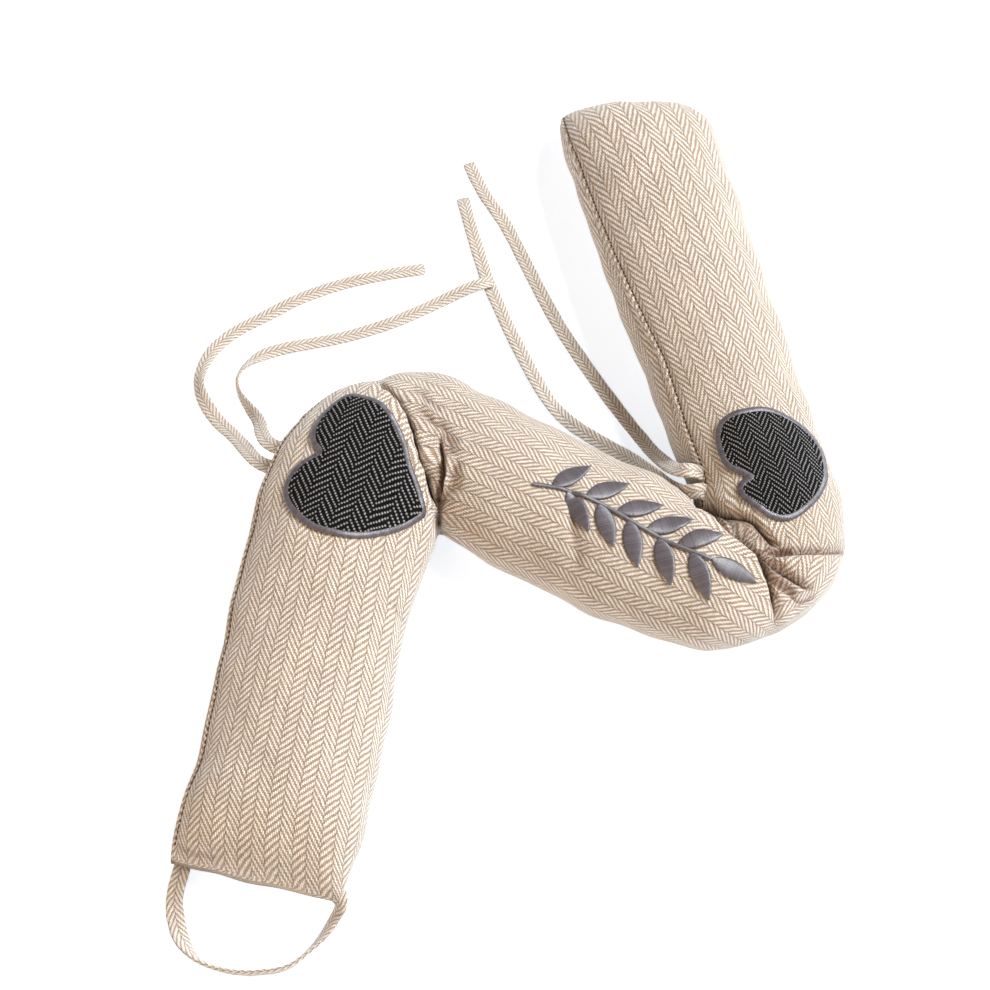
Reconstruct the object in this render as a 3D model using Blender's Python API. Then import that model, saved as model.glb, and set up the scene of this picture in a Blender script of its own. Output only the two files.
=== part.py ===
# Draught excluder: a filled cloth tube lying bent in a Z on the floor,
# with two heart patches, a sewn sprig, four ties and a hanging loop.
# Metres, +Z up, floor at z = 0, the camera's side is -Y.
import bpy
import bmesh
import math
import numpy as np
from mathutils import Vector
from mathutils.bvhtree import BVHTree
from mathutils.interpolate import poly_3d_calc

NAME = "Draught excluder"
CM = 0.01
# The plan point, in centimetres, that the part's origin stands on.
HOME = (1.53, 0.935)

# The tube, rib by rib from the loop end to the plain end, in centimetres.
# A rib runs from the seam side to the fold side of the tube.
# Columns: seam_x, seam_y, fold_x, fold_y, crown, roll
# crown is the height of the top, roll how far the seam has turned up
# over the tube from its widest line (below it where negative).
RIBS = [
    (-16.60, -22.20, -7.90, -24.20, 5.4, 0.0),
    (-16.35, -21.15, -7.40, -23.00, 5.4, 0.0),
    (-16.00, -19.70, -6.90, -21.40, 5.5, 0.0),
    (-15.45, -17.40, -6.25, -18.80, 5.6, 0.0),
    (-15.05, -14.60, -5.80, -15.90, 5.6, 0.0),
    (-14.70, -11.80, -5.40, -13.00, 5.6, 0.0),
    (-14.40, -8.90, -5.05, -10.40, 5.7, 0.0),
    (-14.10, -6.00, -4.55, -8.10, 5.8, 0.0),
    (-13.65, -3.00, -4.00, -6.40, 5.9, 0.0),
    (-13.05, -0.20, -3.65, -5.35, 6.0, -0.1),
    (-12.15, 2.25, -3.42, -4.70, 6.1, -0.2),
    (-10.70, 4.15, -3.30, -4.20, 6.1, -0.4),
    (-9.00, 5.45, -3.20, -3.82, 6.0, -0.6),
    (-7.25, 6.05, -3.05, -3.58, 5.8, -0.7),
    (-5.50, 6.60, -2.80, -3.62, 5.4, -0.8),
    (-3.90, 6.65, -2.48, -3.92, 5.3, -0.8),
    (-2.30, 6.15, -2.10, -4.28, 5.4, -0.8),
    (-0.80, 5.25, -1.65, -4.65, 5.5, -0.8),
    (0.70, 4.50, -1.10, -5.05, 5.6, -0.8),
    (2.15, 3.75, -0.40, -5.50, 5.6, -0.8),
    (3.55, 2.90, 0.55, -6.00, 5.6, -0.8),
    (4.95, 2.00, 1.80, -6.65, 5.6, -0.8),
    (6.35, 1.15, 3.30, -7.55, 5.6, -0.8),
    (7.75, 0.30, 4.90, -8.35, 5.6, -0.8),
    (9.05, -0.60, 6.60, -9.05, 5.6, -0.7),
    (10.00, -1.45, 8.40, -9.90, 5.6, -0.5),
    (10.70, -2.05, 10.10, -10.50, 5.7, -0.2),
    (11.12, -2.45, 11.70, -10.75, 5.8, 0.0),
    (11.36, -2.74, 13.25, -10.50, 5.7, 0.2),
    (11.52, -2.94, 14.80, -10.05, 5.6, 0.3),
    (11.66, -3.04, 16.25, -9.45, 5.7, 0.5),
    (11.80, -3.02, 17.60, -8.55, 5.7, 0.7),
    (11.86, -2.87, 18.75, -7.30, 5.8, 0.9),
    (11.84, -2.66, 19.60, -5.80, 5.8, 1.1),
    (11.78, -2.38, 19.98, -4.10, 5.9, 1.3),
    (11.70, -2.02, 20.00, -2.40, 6.0, 1.4),
    (11.58, -1.52, 19.75, -0.80, 6.0, 1.5),
    (11.42, -0.90, 19.50, 0.70, 6.0, 1.5),
    (11.12, 0.02, 19.20, 2.40, 5.9, 1.5),
    (10.62, 1.45, 18.85, 4.30, 5.8, 1.5),
    (10.05, 3.70, 18.45, 6.60, 5.7, 1.4),
    (9.35, 6.50, 17.95, 9.50, 5.7, 1.3),
    (8.50, 9.60, 17.40, 12.60, 5.7, 1.0),
    (7.60, 12.90, 16.85, 15.90, 5.7, 0.7),
    (6.75, 16.30, 16.25, 19.20, 5.7, 0.4),
    (5.95, 19.60, 15.70, 22.10, 5.7, 0.2),
    (5.20, 22.60, 15.15, 24.70, 5.6, 0.1),
    (4.60, 25.30, 14.75, 26.90, 5.4, 0.0),
    (4.40, 27.10, 14.40, 28.30, 5.2, 0.0),
    (4.75, 28.40, 13.90, 29.40, 5.0, 0.0),
]
STEPS = 3
# How far around the tube each line of the cloth runs, from seam to seam.
SEAM_LINE = 0.0095
AROUND = 34

# Each end closes into a flat seam.
END_REACH = 4.6
END_LEVEL = 1.25
END_HALF = 0.24
WAIST = 0.46
SINK = 0.30
TOP_FULL = 2.15
SEAM_PROUD = 0.26
SEAM_DRAWN = 0.06

# Folds across the tube where it bends.
# Columns: depth at the start, depth at the end, half width, then plan points.
FOLDS = [
    (0.90, 2.20, 0.42, [(-7.35, 6.4), (-6.31, 4.4), (-5.52, 3.54), (-5.01, 2.52),
                        (-4.85, 1.76), (-4.5, 0.5), (-4.05, -0.6), (-3.65, -1.8),
                        (-3.30, -2.7), (-3.12, -3.8)]),
    (0.15, 1.20, 0.32, [(-3.1, 0.6), (-2.98, -0.3), (-2.88, -1.2), (-2.80, -2.2),
                        (-3.05, -3.4)]),
    (0.10, 0.60, 0.40, [(-1.5, -0.4), (-2.0, -1.8), (-2.4, -2.9), (-2.6, -3.8)]),
    (0.10, 0.40, 0.40, [(-3.2, 3.4), (-2.77, 2.2), (-2.15, 1.0), (-2.6, 0.4),
                        (-2.15, -0.6)]),
    (2.60, 0.90, 0.50, [(11.6, -3.0), (12.6, -3.6), (13.4, -4.1), (14.2, -4.55),
                        (15.1, -5.05), (15.8, -5.5)]),
    (1.80, 0.30, 0.36, [(12.7, -4.2), (14.2, -5.75), (15.5, -6.3), (17.2, -6.05),
                        (18.2, -6.0), (20.2, -5.6)]),
    (1.40, 0.45, 0.36, [(13.9, -6.1), (14.75, -6.5), (15.46, -7.04),
                        (16.2, -7.56), (16.9, -7.95), (18.3, -8.7)]),
    (2.10, 0.60, 0.45, [(11.8, -3.1), (12.6, -3.9), (13.3, -4.9), (14.0, -6.2),
                        (14.65, -7.45), (14.9, -8.4), (15.1, -9.1), (15.3, -10.2)]),
    (0.28, 0.28, 0.70, [(4.25, -2.2), (4.35, -3.4), (4.55, -5.9)]),
]

# The patches: a gap over the cloth, a thickness, and each outline on the plan.
PATCH_GAP = 0.09
PATCH_THICK = 0.15
PATCHES = [
    ("heart_patch_1", [
        (-8.51, 3.85), (-7.71, 3.60), (-6.69, 3.04), (-5.96, 2.18), (-5.42, 1.20),
        (-4.98, 0.10), (-4.68, -1.10), (-4.32, -2.10), (-4.05, -2.95), (-3.92, -3.80),
        (-4.70, -4.62), (-5.86, -5.28), (-6.92, -5.66), (-7.94, -5.79), (-8.97, -5.64),
        (-10.04, -5.22), (-10.94, -4.42), (-11.55, -3.50), (-11.78, -2.65),
        (-11.60, -1.85), (-11.09, -1.15), (-10.47, -0.70), (-9.97, -0.34),
        (-10.35, 0.45), (-10.42, 1.27), (-10.10, 2.28), (-9.45, 3.20)],
     (-7.60, -1.40)),
    ("heart_patch_2", [
        (14.27, 2.37), (15.19, 2.49), (16.17, 2.34), (17.30, 1.80), (18.22, 1.05),
        (18.72, 0.10), (18.78, -1.05), (18.51, -2.18), (17.87, -3.30),
        (16.92, -4.20), (16.05, -4.62), (15.15, -4.50), (14.35, -3.90),
        (13.76, -3.20), (13.55, -2.65), (13.74, -2.30), (14.13, -2.07),
        (13.68, -1.62), (12.98, -1.01), (12.68, -0.12), (12.60, 0.95),
        (12.85, 1.75), (13.48, 2.20)],
     (16.10, -1.10)),
]

# The sewn sprig: its stem on the plan, its leaves by place along the stem
# and side (1 toward the seam, -1 toward the fold).
SPRIG_STEM = [(2.10, -2.35), (3.90, -2.70), (5.90, -3.60), (7.90, -4.95),
              (9.90, -6.20), (11.60, -7.00)]
SPRIG_ROWS = 40
SPRIG_WIDE = 0.26
LEAF_LONG = 2.75
LEAF_WIDE = 1.08
LEAF_TURN = 46.0
LEAVES = [(3, 1), (6, -1), (10, 1), (13, -1), (17, 1), (20, -1), (24, 1), (27, -1),
          (31, 1), (34, -1)]
THREAD_GAP = 0.07
THREAD_THICK = 0.10

# The tapes of the ties and the loop: x, y, z of the middle line and the tilt
# of the tape, 90 where it lies flat and 0 where it stands on its edge.
TAPE_WIDE = 0.90
TAPE_THICK = 0.24
TAPES = [
    ("tie_1_left", [
        (-13.32, 0.45, 2.68, 90), (-14.00, 0.86, 2.60, 90), (-14.60, 1.65, 2.10, 90),
        (-15.25, 2.65, 1.40, 90),
        (-16.11, 3.83, 0.75, 90), (-17.12, 4.99, 0.25, 90), (-18.05, 6.29, 0.28, 70),
        (-18.57, 7.48, 0.38, 50), (-18.59, 8.74, 0.30, 65), (-18.06, 10.38, 0.13, 90),
        (-16.85, 11.77, 0.13, 90), (-14.89, 13.11, 0.13, 90), (-12.65, 14.56, 0.13, 90),
        (-10.03, 15.69, 0.13, 90), (-7.35, 16.43, 0.13, 90), (-4.65, 16.93, 0.13, 90)]),
    ("tie_1_right", [
        (-12.88, 1.76, 2.66, 90), (-13.55, 2.25, 2.50, 90), (-14.05, 3.25, 1.90, 80), (-14.51, 4.56, 1.20, 60),
        (-15.33, 5.84, 0.65, 30), (-15.99, 6.98, 0.47, 8), (-16.18, 8.02, 0.47, 12),
        (-15.79, 9.06, 0.38, 45), (-14.64, 10.14, 0.14, 90), (-12.77, 10.76, 0.13, 90),
        (-10.81, 11.15, 0.13, 90), (-8.71, 11.77, 0.13, 90), (-6.55, 12.64, 0.13, 90),
        (-4.31, 13.83, 0.13, 90), (-2.56, 14.81, 0.22, 90), (-1.38, 15.30, 0.44, 90),
        (-0.20, 15.68, 0.47, 90)]),
    ("tie_2_left", [
        (11.35, -0.78, 4.40, 90), (11.00, -0.83, 4.55, 85), (10.52, -0.58, 4.20, 75),
        (10.22, 0.10, 3.30, 70), (9.92, 1.20, 2.10, 75), (9.48, 2.50, 1.00, 85),
        (8.95, 3.80, 0.35, 90), (8.32, 4.92, 0.13, 90),
        (6.98, 7.12, 0.13, 90), (5.61, 9.53, 0.13, 90), (4.27, 12.09, 0.13, 90),
        (3.15, 14.64, 0.13, 90), (2.00, 17.51, 0.13, 90), (0.68, 20.74, 0.13, 90),
        (-0.69, 23.27, 0.13, 90), (-1.81, 26.06, 0.13, 90)]),
    ("tie_2_right", [
        (11.70, -1.98, 4.22, 60), (11.22, -2.00, 4.18, 35), (10.75, -1.78, 3.75, 25),
        (10.16, -1.08, 3.08, 25), (9.54, -0.13, 2.48, 25), (8.96, 0.88, 1.72, 25),
        (8.35, 1.85, 0.95, 35), (7.55, 2.70, 0.46, 45),
        (6.33, 3.57, 0.36, 50), (4.83, 4.75, 0.30, 60), (3.63, 6.24, 0.13, 90),
        (2.59, 8.17, 0.13, 90), (1.73, 10.14, 0.13, 90), (0.91, 12.09, 0.13, 90),
        (0.20, 14.07, 0.13, 90), (-0.46, 15.86, 0.13, 90), (-1.07, 18.18, 0.13, 90),
        (-1.62, 20.39, 0.13, 90), (-2.19, 22.92, 0.13, 90)]),
    ("hanging_loop", [
        (-16.11, -22.55, 1.25, 90), (-16.37, -23.16, 0.80, 90), (-16.52, -23.83, 0.35, 90),
        (-16.37, -24.75, 0.20, 80), (-15.91, -25.80, 0.35, 50), (-15.13, -26.67, 0.46, 15),
        (-14.07, -27.17, 0.47, 5), (-12.74, -27.41, 0.47, 0), (-11.39, -27.36, 0.47, 0),
        (-10.31, -27.08, 0.47, 5), (-9.40, -26.38, 0.46, 15), (-8.65, -25.52, 0.42, 35),
        (-8.17, -24.77, 0.60, 45), (-7.88, -24.25, 1.15, 60)]),
]


def smooth_rows(rows, steps):
    """Catmull-Rom rows between the rows of a table."""
    rows = np.array(rows, dtype=float)
    last = len(rows) - 1
    out = []
    for i in range(last):
        a = rows[max(i - 1, 0)]
        b = rows[i]
        c = rows[i + 1]
        d = rows[min(i + 2, last)]
        for k in range(steps):
            t = k / steps
            out.append(0.5 * (2 * b + (c - a) * t
                              + (2 * a - 5 * b + 4 * c - d) * t ** 2
                              + (3 * b - a - 3 * c + d) * t ** 3))
    out.append(rows[last])
    return np.array(out)


def end_fullness(stations):
    """0 at either end seam, 1 where the tube has its full height."""
    mids = (stations[:, 0:2] + stations[:, 2:4]) / 2
    gaps = np.linalg.norm(np.diff(mids, axis=0), axis=1)
    run = np.concatenate([[0.0], np.cumsum(gaps)])
    near = np.minimum(run, run[-1] - run) / END_REACH
    near = np.clip(near, 0.0, 1.0)
    return np.sqrt(1.0 - (1.0 - near) ** 2), run


def fold_depth(points):
    """How deep the folds draw the cloth in at each plan point."""
    total = np.zeros(len(points))
    for start, end, half, line in FOLDS:
        line = np.array(line, dtype=float)
        runs = np.linalg.norm(np.diff(line, axis=0), axis=1)
        length = runs.sum()
        best = np.full(len(points), 1e9)
        depth = np.zeros(len(points))
        gone = 0.0
        for p, q, size in zip(line[:-1], line[1:], runs):
            along = (points - p) @ (q - p) / size ** 2
            along = np.clip(along, 0.0, 1.0)
            away = np.linalg.norm(points - (p + along[:, None] * (q - p)), axis=1)
            here = (gone + along * size) / length
            closer = away < best
            depth = np.where(closer, start + (end - start) * here, depth)
            best = np.minimum(best, away)
            gone += size
        total = np.maximum(total, depth * np.exp(-best / half))
    return total


def section(half, crown, full, count=240):
    """One cut across the tube: x from seam side to fold side, and z."""
    turn = np.linspace(0.0, 2 * math.pi, count, endpoint=False)
    waist = END_LEVEL + (WAIST * crown - END_LEVEL) * full
    x = -np.sign(np.cos(turn)) * np.abs(np.cos(turn)) ** (2 / TOP_FULL) * half
    lift = np.abs(np.sin(turn)) ** (2 / TOP_FULL)
    above = (crown - waist) * full + END_HALF * (1 - full)
    below = waist * (1 + SINK) * full + END_HALF * (1 - full)
    z = np.where(np.sin(turn) >= 0, waist + above * lift, waist - below * lift)
    return np.stack([x, np.maximum(z, 0.0)], axis=1)


def tube_rings(rows, steps, fractions, seam_proud):
    """Rings of points around the tube, in centimetres."""
    stations = smooth_rows(rows, steps)
    fullness, run = end_fullness(stations)
    rings = []
    for (sx, sy, fx, fy, crown, roll), full in zip(stations, fullness):
        seam = np.array([sx, sy])
        fold = np.array([fx, fy])
        width = np.linalg.norm(fold - seam)
        out = (fold - seam) / width
        loop = section(width / 2, crown, full)
        closed = np.vstack([loop, loop[:1]])
        gone = np.concatenate([[0.0], np.cumsum(
            np.linalg.norm(np.diff(closed, axis=0), axis=1))])
        girth = gone[-1]
        want = (np.array(fractions) * girth + roll * full) % girth
        x = np.interp(want, gone, closed[:, 0])
        z = np.interp(want, gone, closed[:, 1])
        ahead = np.interp((want + 0.1) % girth, gone, closed[:, 0])
        behind = np.interp((want - 0.1) % girth, gone, closed[:, 0])
        high = np.interp((want + 0.1) % girth, gone, closed[:, 1])
        low = np.interp((want - 0.1) % girth, gone, closed[:, 1])
        facing = np.stack([-(high - low), ahead - behind], axis=1)
        facing /= np.linalg.norm(facing, axis=1)[:, None]
        # the seam stands proud, and the cloth on both sides is drawn in
        x = x + facing[:, 0] * seam_proud * full ** 0.3
        z = z + facing[:, 1] * seam_proud * full ** 0.3
        plan = (seam + fold) / 2 + x[:, None] * out
        deep = fold_depth(plan)
        upper = np.clip(facing[:, 1] + 0.75, 0.0, 1.0)
        push = np.minimum(deep * upper, 0.62 * crown)
        plan = plan - (push * facing[:, 0] * 0.5)[:, None] * out
        z = z - push * np.maximum(facing[:, 1], 0.15)
        rings.append(np.column_stack([plan, np.maximum(z, 0.0)]))
    return np.array(rings), run


def around_fractions():
    """The seam line, a line close on either side of it, and even lines."""
    even = [k / AROUND for k in range(1, AROUND)]
    return [0.0, SEAM_LINE] + even + [1.0 - SEAM_LINE]


def placed(point):
    """A point of the plan tables in the part's own frame, in metres."""
    x, y, z = point
    return (float(x - HOME[0]) * CM, float(y - HOME[1]) * CM, float(z) * CM)


def new_mesh(name, points, faces, group, surface):
    """A mesh object from points in centimetres, its faces turned outward."""
    mesh = bpy.data.meshes.new(name)
    mesh.from_pydata([placed(p) for p in points], [], faces)
    work = bmesh.new()
    work.from_mesh(mesh)
    bmesh.ops.recalc_face_normals(work, faces=work.faces)
    work.to_mesh(mesh)
    work.free()
    for face in mesh.polygons:
        face.use_smooth = True
    mesh.materials.append(surface)
    obj = bpy.data.objects.new(name, mesh)
    group.objects.link(obj)
    return obj


def make_body(group, surface):
    """The filled tube, lofted from ring to ring and closed at both seams."""
    fractions = around_fractions()
    proud = np.zeros(len(fractions))
    proud[0] = SEAM_PROUD
    proud[1] = -SEAM_DRAWN
    proud[-1] = -SEAM_DRAWN
    rings, run = tube_rings(RIBS, STEPS, fractions, proud)
    count = len(fractions)
    points = rings.reshape(-1, 3)
    faces = []
    for i in range(len(rings) - 1):
        for j in range(count):
            k = (j + 1) % count
            faces.append((i * count + j, i * count + k,
                          (i + 1) * count + k, (i + 1) * count + j))
    for start in (0, (len(rings) - 1) * count):
        # the flat seam at the end: strips from side to side
        for j in range(count // 2):
            a = start + j
            b = start + j + 1
            c = start + (count - 1 - j) % count
            d = start + (count - j) % count
            quad = []
            for v in (a, b, c, d):
                if v not in quad:
                    quad.append(v)
            if len(quad) > 2:
                faces.append(tuple(quad))
    return new_mesh("body", points, faces, group, surface)


def surface_finder(obj):
    """Give the point and smooth normal of the cloth below a plan point."""
    mesh = obj.data
    verts = [v.co.copy() for v in mesh.vertices]
    normals = [v.normal.copy() for v in mesh.vertices]
    mesh.calc_loop_triangles()
    tris = [tuple(t.vertices) for t in mesh.loop_triangles]
    tree = BVHTree.FromPolygons(verts, tris)

    def find(x, y):
        hit = tree.ray_cast(Vector(placed((x, y, 50.0))), Vector((0, 0, -1)))
        if hit[0] is None:
            raise ValueError("no cloth under %.2f, %.2f" % (x, y))
        corners = [verts[i] for i in tris[hit[2]]]
        parts = poly_3d_calc(corners, hit[0])
        normal = Vector((0, 0, 0))
        for i, part in zip(tris[hit[2]], parts):
            normal += normals[i] * part
        spot = hit[0] / CM + Vector((HOME[0], HOME[1], 0.0))
        return spot, normal.normalized()

    return find


def closed_curve(points, count):
    """Even points along a smooth closed curve through a few points."""
    pts = np.array(points, dtype=float)
    n = len(pts)
    fine = []
    for i in range(n):
        a, b, c, d = pts[i - 1], pts[i], pts[(i + 1) % n], pts[(i + 2) % n]
        for k in range(16):
            t = k / 16
            fine.append(0.5 * (2 * b + (c - a) * t
                               + (2 * a - 5 * b + 4 * c - d) * t ** 2
                               + (3 * b - a - 3 * c + d) * t ** 3))
    fine = np.array(fine)
    ends = np.vstack([fine, fine[:1]])
    gone = np.concatenate([[0.0], np.cumsum(
        np.linalg.norm(np.diff(ends, axis=0), axis=1))])
    want = np.linspace(0.0, gone[-1], count, endpoint=False)
    return np.column_stack([np.interp(want, gone, ends[:, 0]),
                            np.interp(want, gone, ends[:, 1])])


def thick_sheet(name, plan, faces, low, high, find, group, surface):
    """A closed sheet that follows the cloth, from low to high above it."""
    bottom = []
    top = []
    for x, y in plan:
        spot, normal = find(x, y)
        bottom.append(tuple(spot + normal * low))
        top.append(tuple(spot + normal * high))
    size = len(plan)
    edges = {}
    for face in faces:
        for a, b in zip(face, face[1:] + face[:1]):
            edges[(a, b)] = (b, a) not in edges
            if (b, a) in edges:
                edges[(b, a)] = False
    walls = [(a, b, b + size, a + size) for (a, b), rim in edges.items() if rim]
    upper = [tuple(v + size for v in face) for face in faces]
    lower = [tuple(face[::-1]) for face in faces]
    return new_mesh(name, bottom + top, lower + upper + walls, group, surface)


def make_patch(name, outline, middle, find, group, surface):
    """A patch of cloth: rings of points from its rim to its middle."""
    count = 54
    shares = (1.0, 0.93, 0.84, 0.7, 0.5, 0.26)
    rim = closed_curve(outline, count)
    middle = np.array(middle, dtype=float)
    plan = []
    for share in shares:
        plan += [tuple(middle + (p - middle) * share) for p in rim]
    plan.append(tuple(middle))
    faces = []
    for r in range(len(shares) - 1):
        for j in range(count):
            k = (j + 1) % count
            faces.append((r * count + j, r * count + k,
                          (r + 1) * count + k, (r + 1) * count + j))
    last = (len(shares) - 1) * count
    for j in range(count):
        faces.append((last + j, last + (j + 1) % count, len(plan) - 1))
    return thick_sheet(name, plan, faces, PATCH_GAP, PATCH_GAP + PATCH_THICK,
                       find, group, surface)


def make_sprig(find, group, surface):
    """The stem is a strip, and each leaf grows out of three of its rows."""
    stem = smooth_rows(SPRIG_STEM, 24)
    gone = np.concatenate([[0.0], np.cumsum(
        np.linalg.norm(np.diff(stem, axis=0), axis=1))])
    want = np.linspace(0.0, gone[-1], SPRIG_ROWS)
    line = np.column_stack([np.interp(want, gone, stem[:, 0]),
                            np.interp(want, gone, stem[:, 1])])
    along = np.gradient(line, axis=0)
    along /= np.linalg.norm(along, axis=1)[:, None]
    across = np.column_stack([-along[:, 1], along[:, 0]])
    half = SPRIG_WIDE / 2
    plan = []
    for spot, side in zip(line, across):
        plan.append(tuple(spot + side * half))
        plan.append(tuple(spot - side * half))
    faces = []
    for i in range(SPRIG_ROWS - 2):
        faces.append((2 * i, 2 * i + 1, 2 * i + 3, 2 * i + 2))
    end = 2 * (SPRIG_ROWS - 1)
    middle = len(plan)
    plan.append(tuple(line[-1]))
    faces.append((end - 2, end - 1, end + 1, middle, end))
    # every leaf's own rows run from its left to its right, seen from above
    starts = []
    for row, side in LEAVES:
        base = [2 * (row + k) + (side < 0) for k in range(3)]
        starts.append((row, side, base if side > 0 else base[::-1]))
    starts.append((SPRIG_ROWS - 1, 0, [end, middle, end + 1]))
    for row, side, base in starts:
        turn = math.radians(LEAF_TURN) * side
        near = along[min(row + 1, SPRIG_ROWS - 1)]
        way = np.array([near[0] * math.cos(turn) - near[1] * math.sin(turn),
                        near[0] * math.sin(turn) + near[1] * math.cos(turn)])
        left = np.array([-way[1], way[0]])
        root = np.array(plan[base[1]])
        rows = [base]
        for k in range(1, 7):
            t = k / 7
            size = LEAF_WIDE / 2 * math.sin(math.pi * t ** 0.85) ** 0.8
            spot = root + way * LEAF_LONG * t
            first = len(plan)
            plan += [tuple(spot + left * size), tuple(spot), tuple(spot - left * size)]
            rows.append([first, first + 1, first + 2])
        tip = len(plan)
        plan.append(tuple(root + way * LEAF_LONG))
        for a, b in zip(rows[:-1], rows[1:]):
            faces.append((a[0], a[1], b[1], b[0]))
            faces.append((a[1], a[2], b[2], b[1]))
        faces.append((rows[-1][0], rows[-1][1], tip))
        faces.append((rows[-1][1], rows[-1][2], tip))
    return thick_sheet("sewn_sprig", plan, faces, THREAD_GAP,
                       THREAD_GAP + THREAD_THICK, find, group, surface)


def make_tape(name, rows, group, surface):
    """A flat tape along a line. Rows: x, y, z in centimetres, and its tilt."""
    curve = bpy.data.curves.new(name, "CURVE")
    curve.dimensions = "3D"
    curve.twist_mode = "Z_UP"
    curve.fill_mode = "FULL"
    curve.bevel_depth = TAPE_THICK / 2 * CM
    curve.extrude = (TAPE_WIDE - TAPE_THICK) / 2 * CM
    curve.bevel_resolution = 2
    curve.use_fill_caps = True
    line = curve.splines.new("POLY")
    line.points.add(len(rows) - 1)
    for point, (x, y, z, tilt) in zip(line.points, rows):
        point.co = placed((x, y, z)) + (1.0,)
        point.tilt = math.radians(tilt)
    curve.materials.append(surface)
    obj = bpy.data.objects.new(name, curve)
    group.objects.link(obj)
    return obj


def make_surface(name, colour, rough):
    surface = bpy.data.materials.new(name)
    surface.use_nodes = True
    shader = surface.node_tree.nodes["Principled BSDF"]
    shader.inputs["Base Color"].default_value = colour
    shader.inputs["Roughness"].default_value = rough
    return surface


def main():
    for obj in list(bpy.data.objects):
        bpy.data.objects.remove(obj)
    group = bpy.data.collections.new(NAME)
    bpy.context.scene.collection.children.link(group)
    twill = make_surface("herringbone cloth", (0.72, 0.60, 0.47, 1.0), 0.9)
    dark = make_surface("dark herringbone cloth", (0.05, 0.05, 0.055, 1.0), 0.9)
    thread = make_surface("grey embroidery thread", (0.16, 0.15, 0.165, 1.0), 0.5)
    body = make_body(group, twill)
    find = surface_finder(body)
    for name, outline, middle in PATCHES:
        make_patch(name, outline, middle, find, group, dark)
    make_sprig(find, group, thread)
    for name, rows in TAPES:
        make_tape(name, rows, group, twill)


if __name__ == "__main__":
    main()
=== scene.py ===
# Draught excluder: a herringbone cloth tube filled with fibre, lying bent in
# a Z, with two heart patches, a sewn sprig, four ties and a hanging loop.
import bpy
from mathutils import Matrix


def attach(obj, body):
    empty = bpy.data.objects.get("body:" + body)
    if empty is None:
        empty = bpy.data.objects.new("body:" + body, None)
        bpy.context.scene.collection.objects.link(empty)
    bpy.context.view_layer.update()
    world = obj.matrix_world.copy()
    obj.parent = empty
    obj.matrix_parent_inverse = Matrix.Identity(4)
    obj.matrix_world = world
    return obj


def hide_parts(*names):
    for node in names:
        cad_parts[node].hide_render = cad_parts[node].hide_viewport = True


bl_info = {
    "name": "Herringbone draught excluder",
    "version": (1, 0, 0),
    "blender": (4, 5, 0),
    "location": "View3D > Sidebar > Draught",
    "description": "A filled cloth tube bent in a Z, with heart patches, a sprig, ties and a loop",
    "category": "Object",
}

import math

import bpy
import numpy as np
from bpy.props import FloatProperty, FloatVectorProperty, IntProperty, PointerProperty
from mathutils import Vector
from mathutils.bvhtree import BVHTree

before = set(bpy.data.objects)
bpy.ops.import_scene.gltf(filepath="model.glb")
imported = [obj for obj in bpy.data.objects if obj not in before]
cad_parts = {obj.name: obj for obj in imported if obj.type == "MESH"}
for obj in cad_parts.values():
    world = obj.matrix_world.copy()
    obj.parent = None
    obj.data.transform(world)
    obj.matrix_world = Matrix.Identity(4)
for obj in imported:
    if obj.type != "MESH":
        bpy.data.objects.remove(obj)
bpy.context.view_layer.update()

# Tables are in centimetres on the plan; this point of it is the part's origin.
CM = 0.01
HOME = (1.53, 0.935)

# The stage. Columns of the lights: name, place, size, watts, colour
LIGHTS = [
    ("key light", (2.16, 0.81, 2.34), 1.44, 178.0, (0.905, 0.955, 1.0)),
    ("fill light", (-0.8, -1.5, 0.9), 1.4, 14.0, (1.0, 0.74, 0.52)),
]
FLOOR_SIZE = 12.0
FLOOR_UNDER = 0.0002   # how far the floor lies under the part, in metres
FLOOR_COLOUR = "#E7F3FF"
FLOOR_GLOW = "#F2F7FF"
FLOOR_GLOW_STRENGTH = 0.62
ROOM_COLOUR = "#FFEEDC"
ROOM_STRENGTH = 0.36
CAMERA_PLACE = (-0.0153, -0.3779, 0.6931)
CAMERA_TILT = 28.0
LENS_MM = 47.27
SENSOR_MM = 36.0

# How the tube's cross section is made, in centimetres or as shares.
END_REACH = 4.6    # how far an end takes to swell to full height
END_SWELL = (0.60, 0.61)   # how steeply each end does, 0.5 is a round end
END_LEVEL = 1.25   # height of the flat seam at either end
END_HALF = 0.08    # half the thickness there
WAIST = 0.46       # widest height as a share of the crown
SINK = 0.30        # how far the underside would bulge below the floor
TOP_FULL = 2.15    # fullness of the section, 2 is an ellipse
SEAM_FADE = 0.3    # how fast the seam's ridge fades at an end
DEEPEST_FOLD = 0.62    # most of the crown that a fold may draw in
SLOPE_REACH = 0.1  # how far either way the outline's slope is read
OUTLINE_POINTS = 240
OUTLINE_TOP = 60   # the outline's point at the crown, a quarter around

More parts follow.
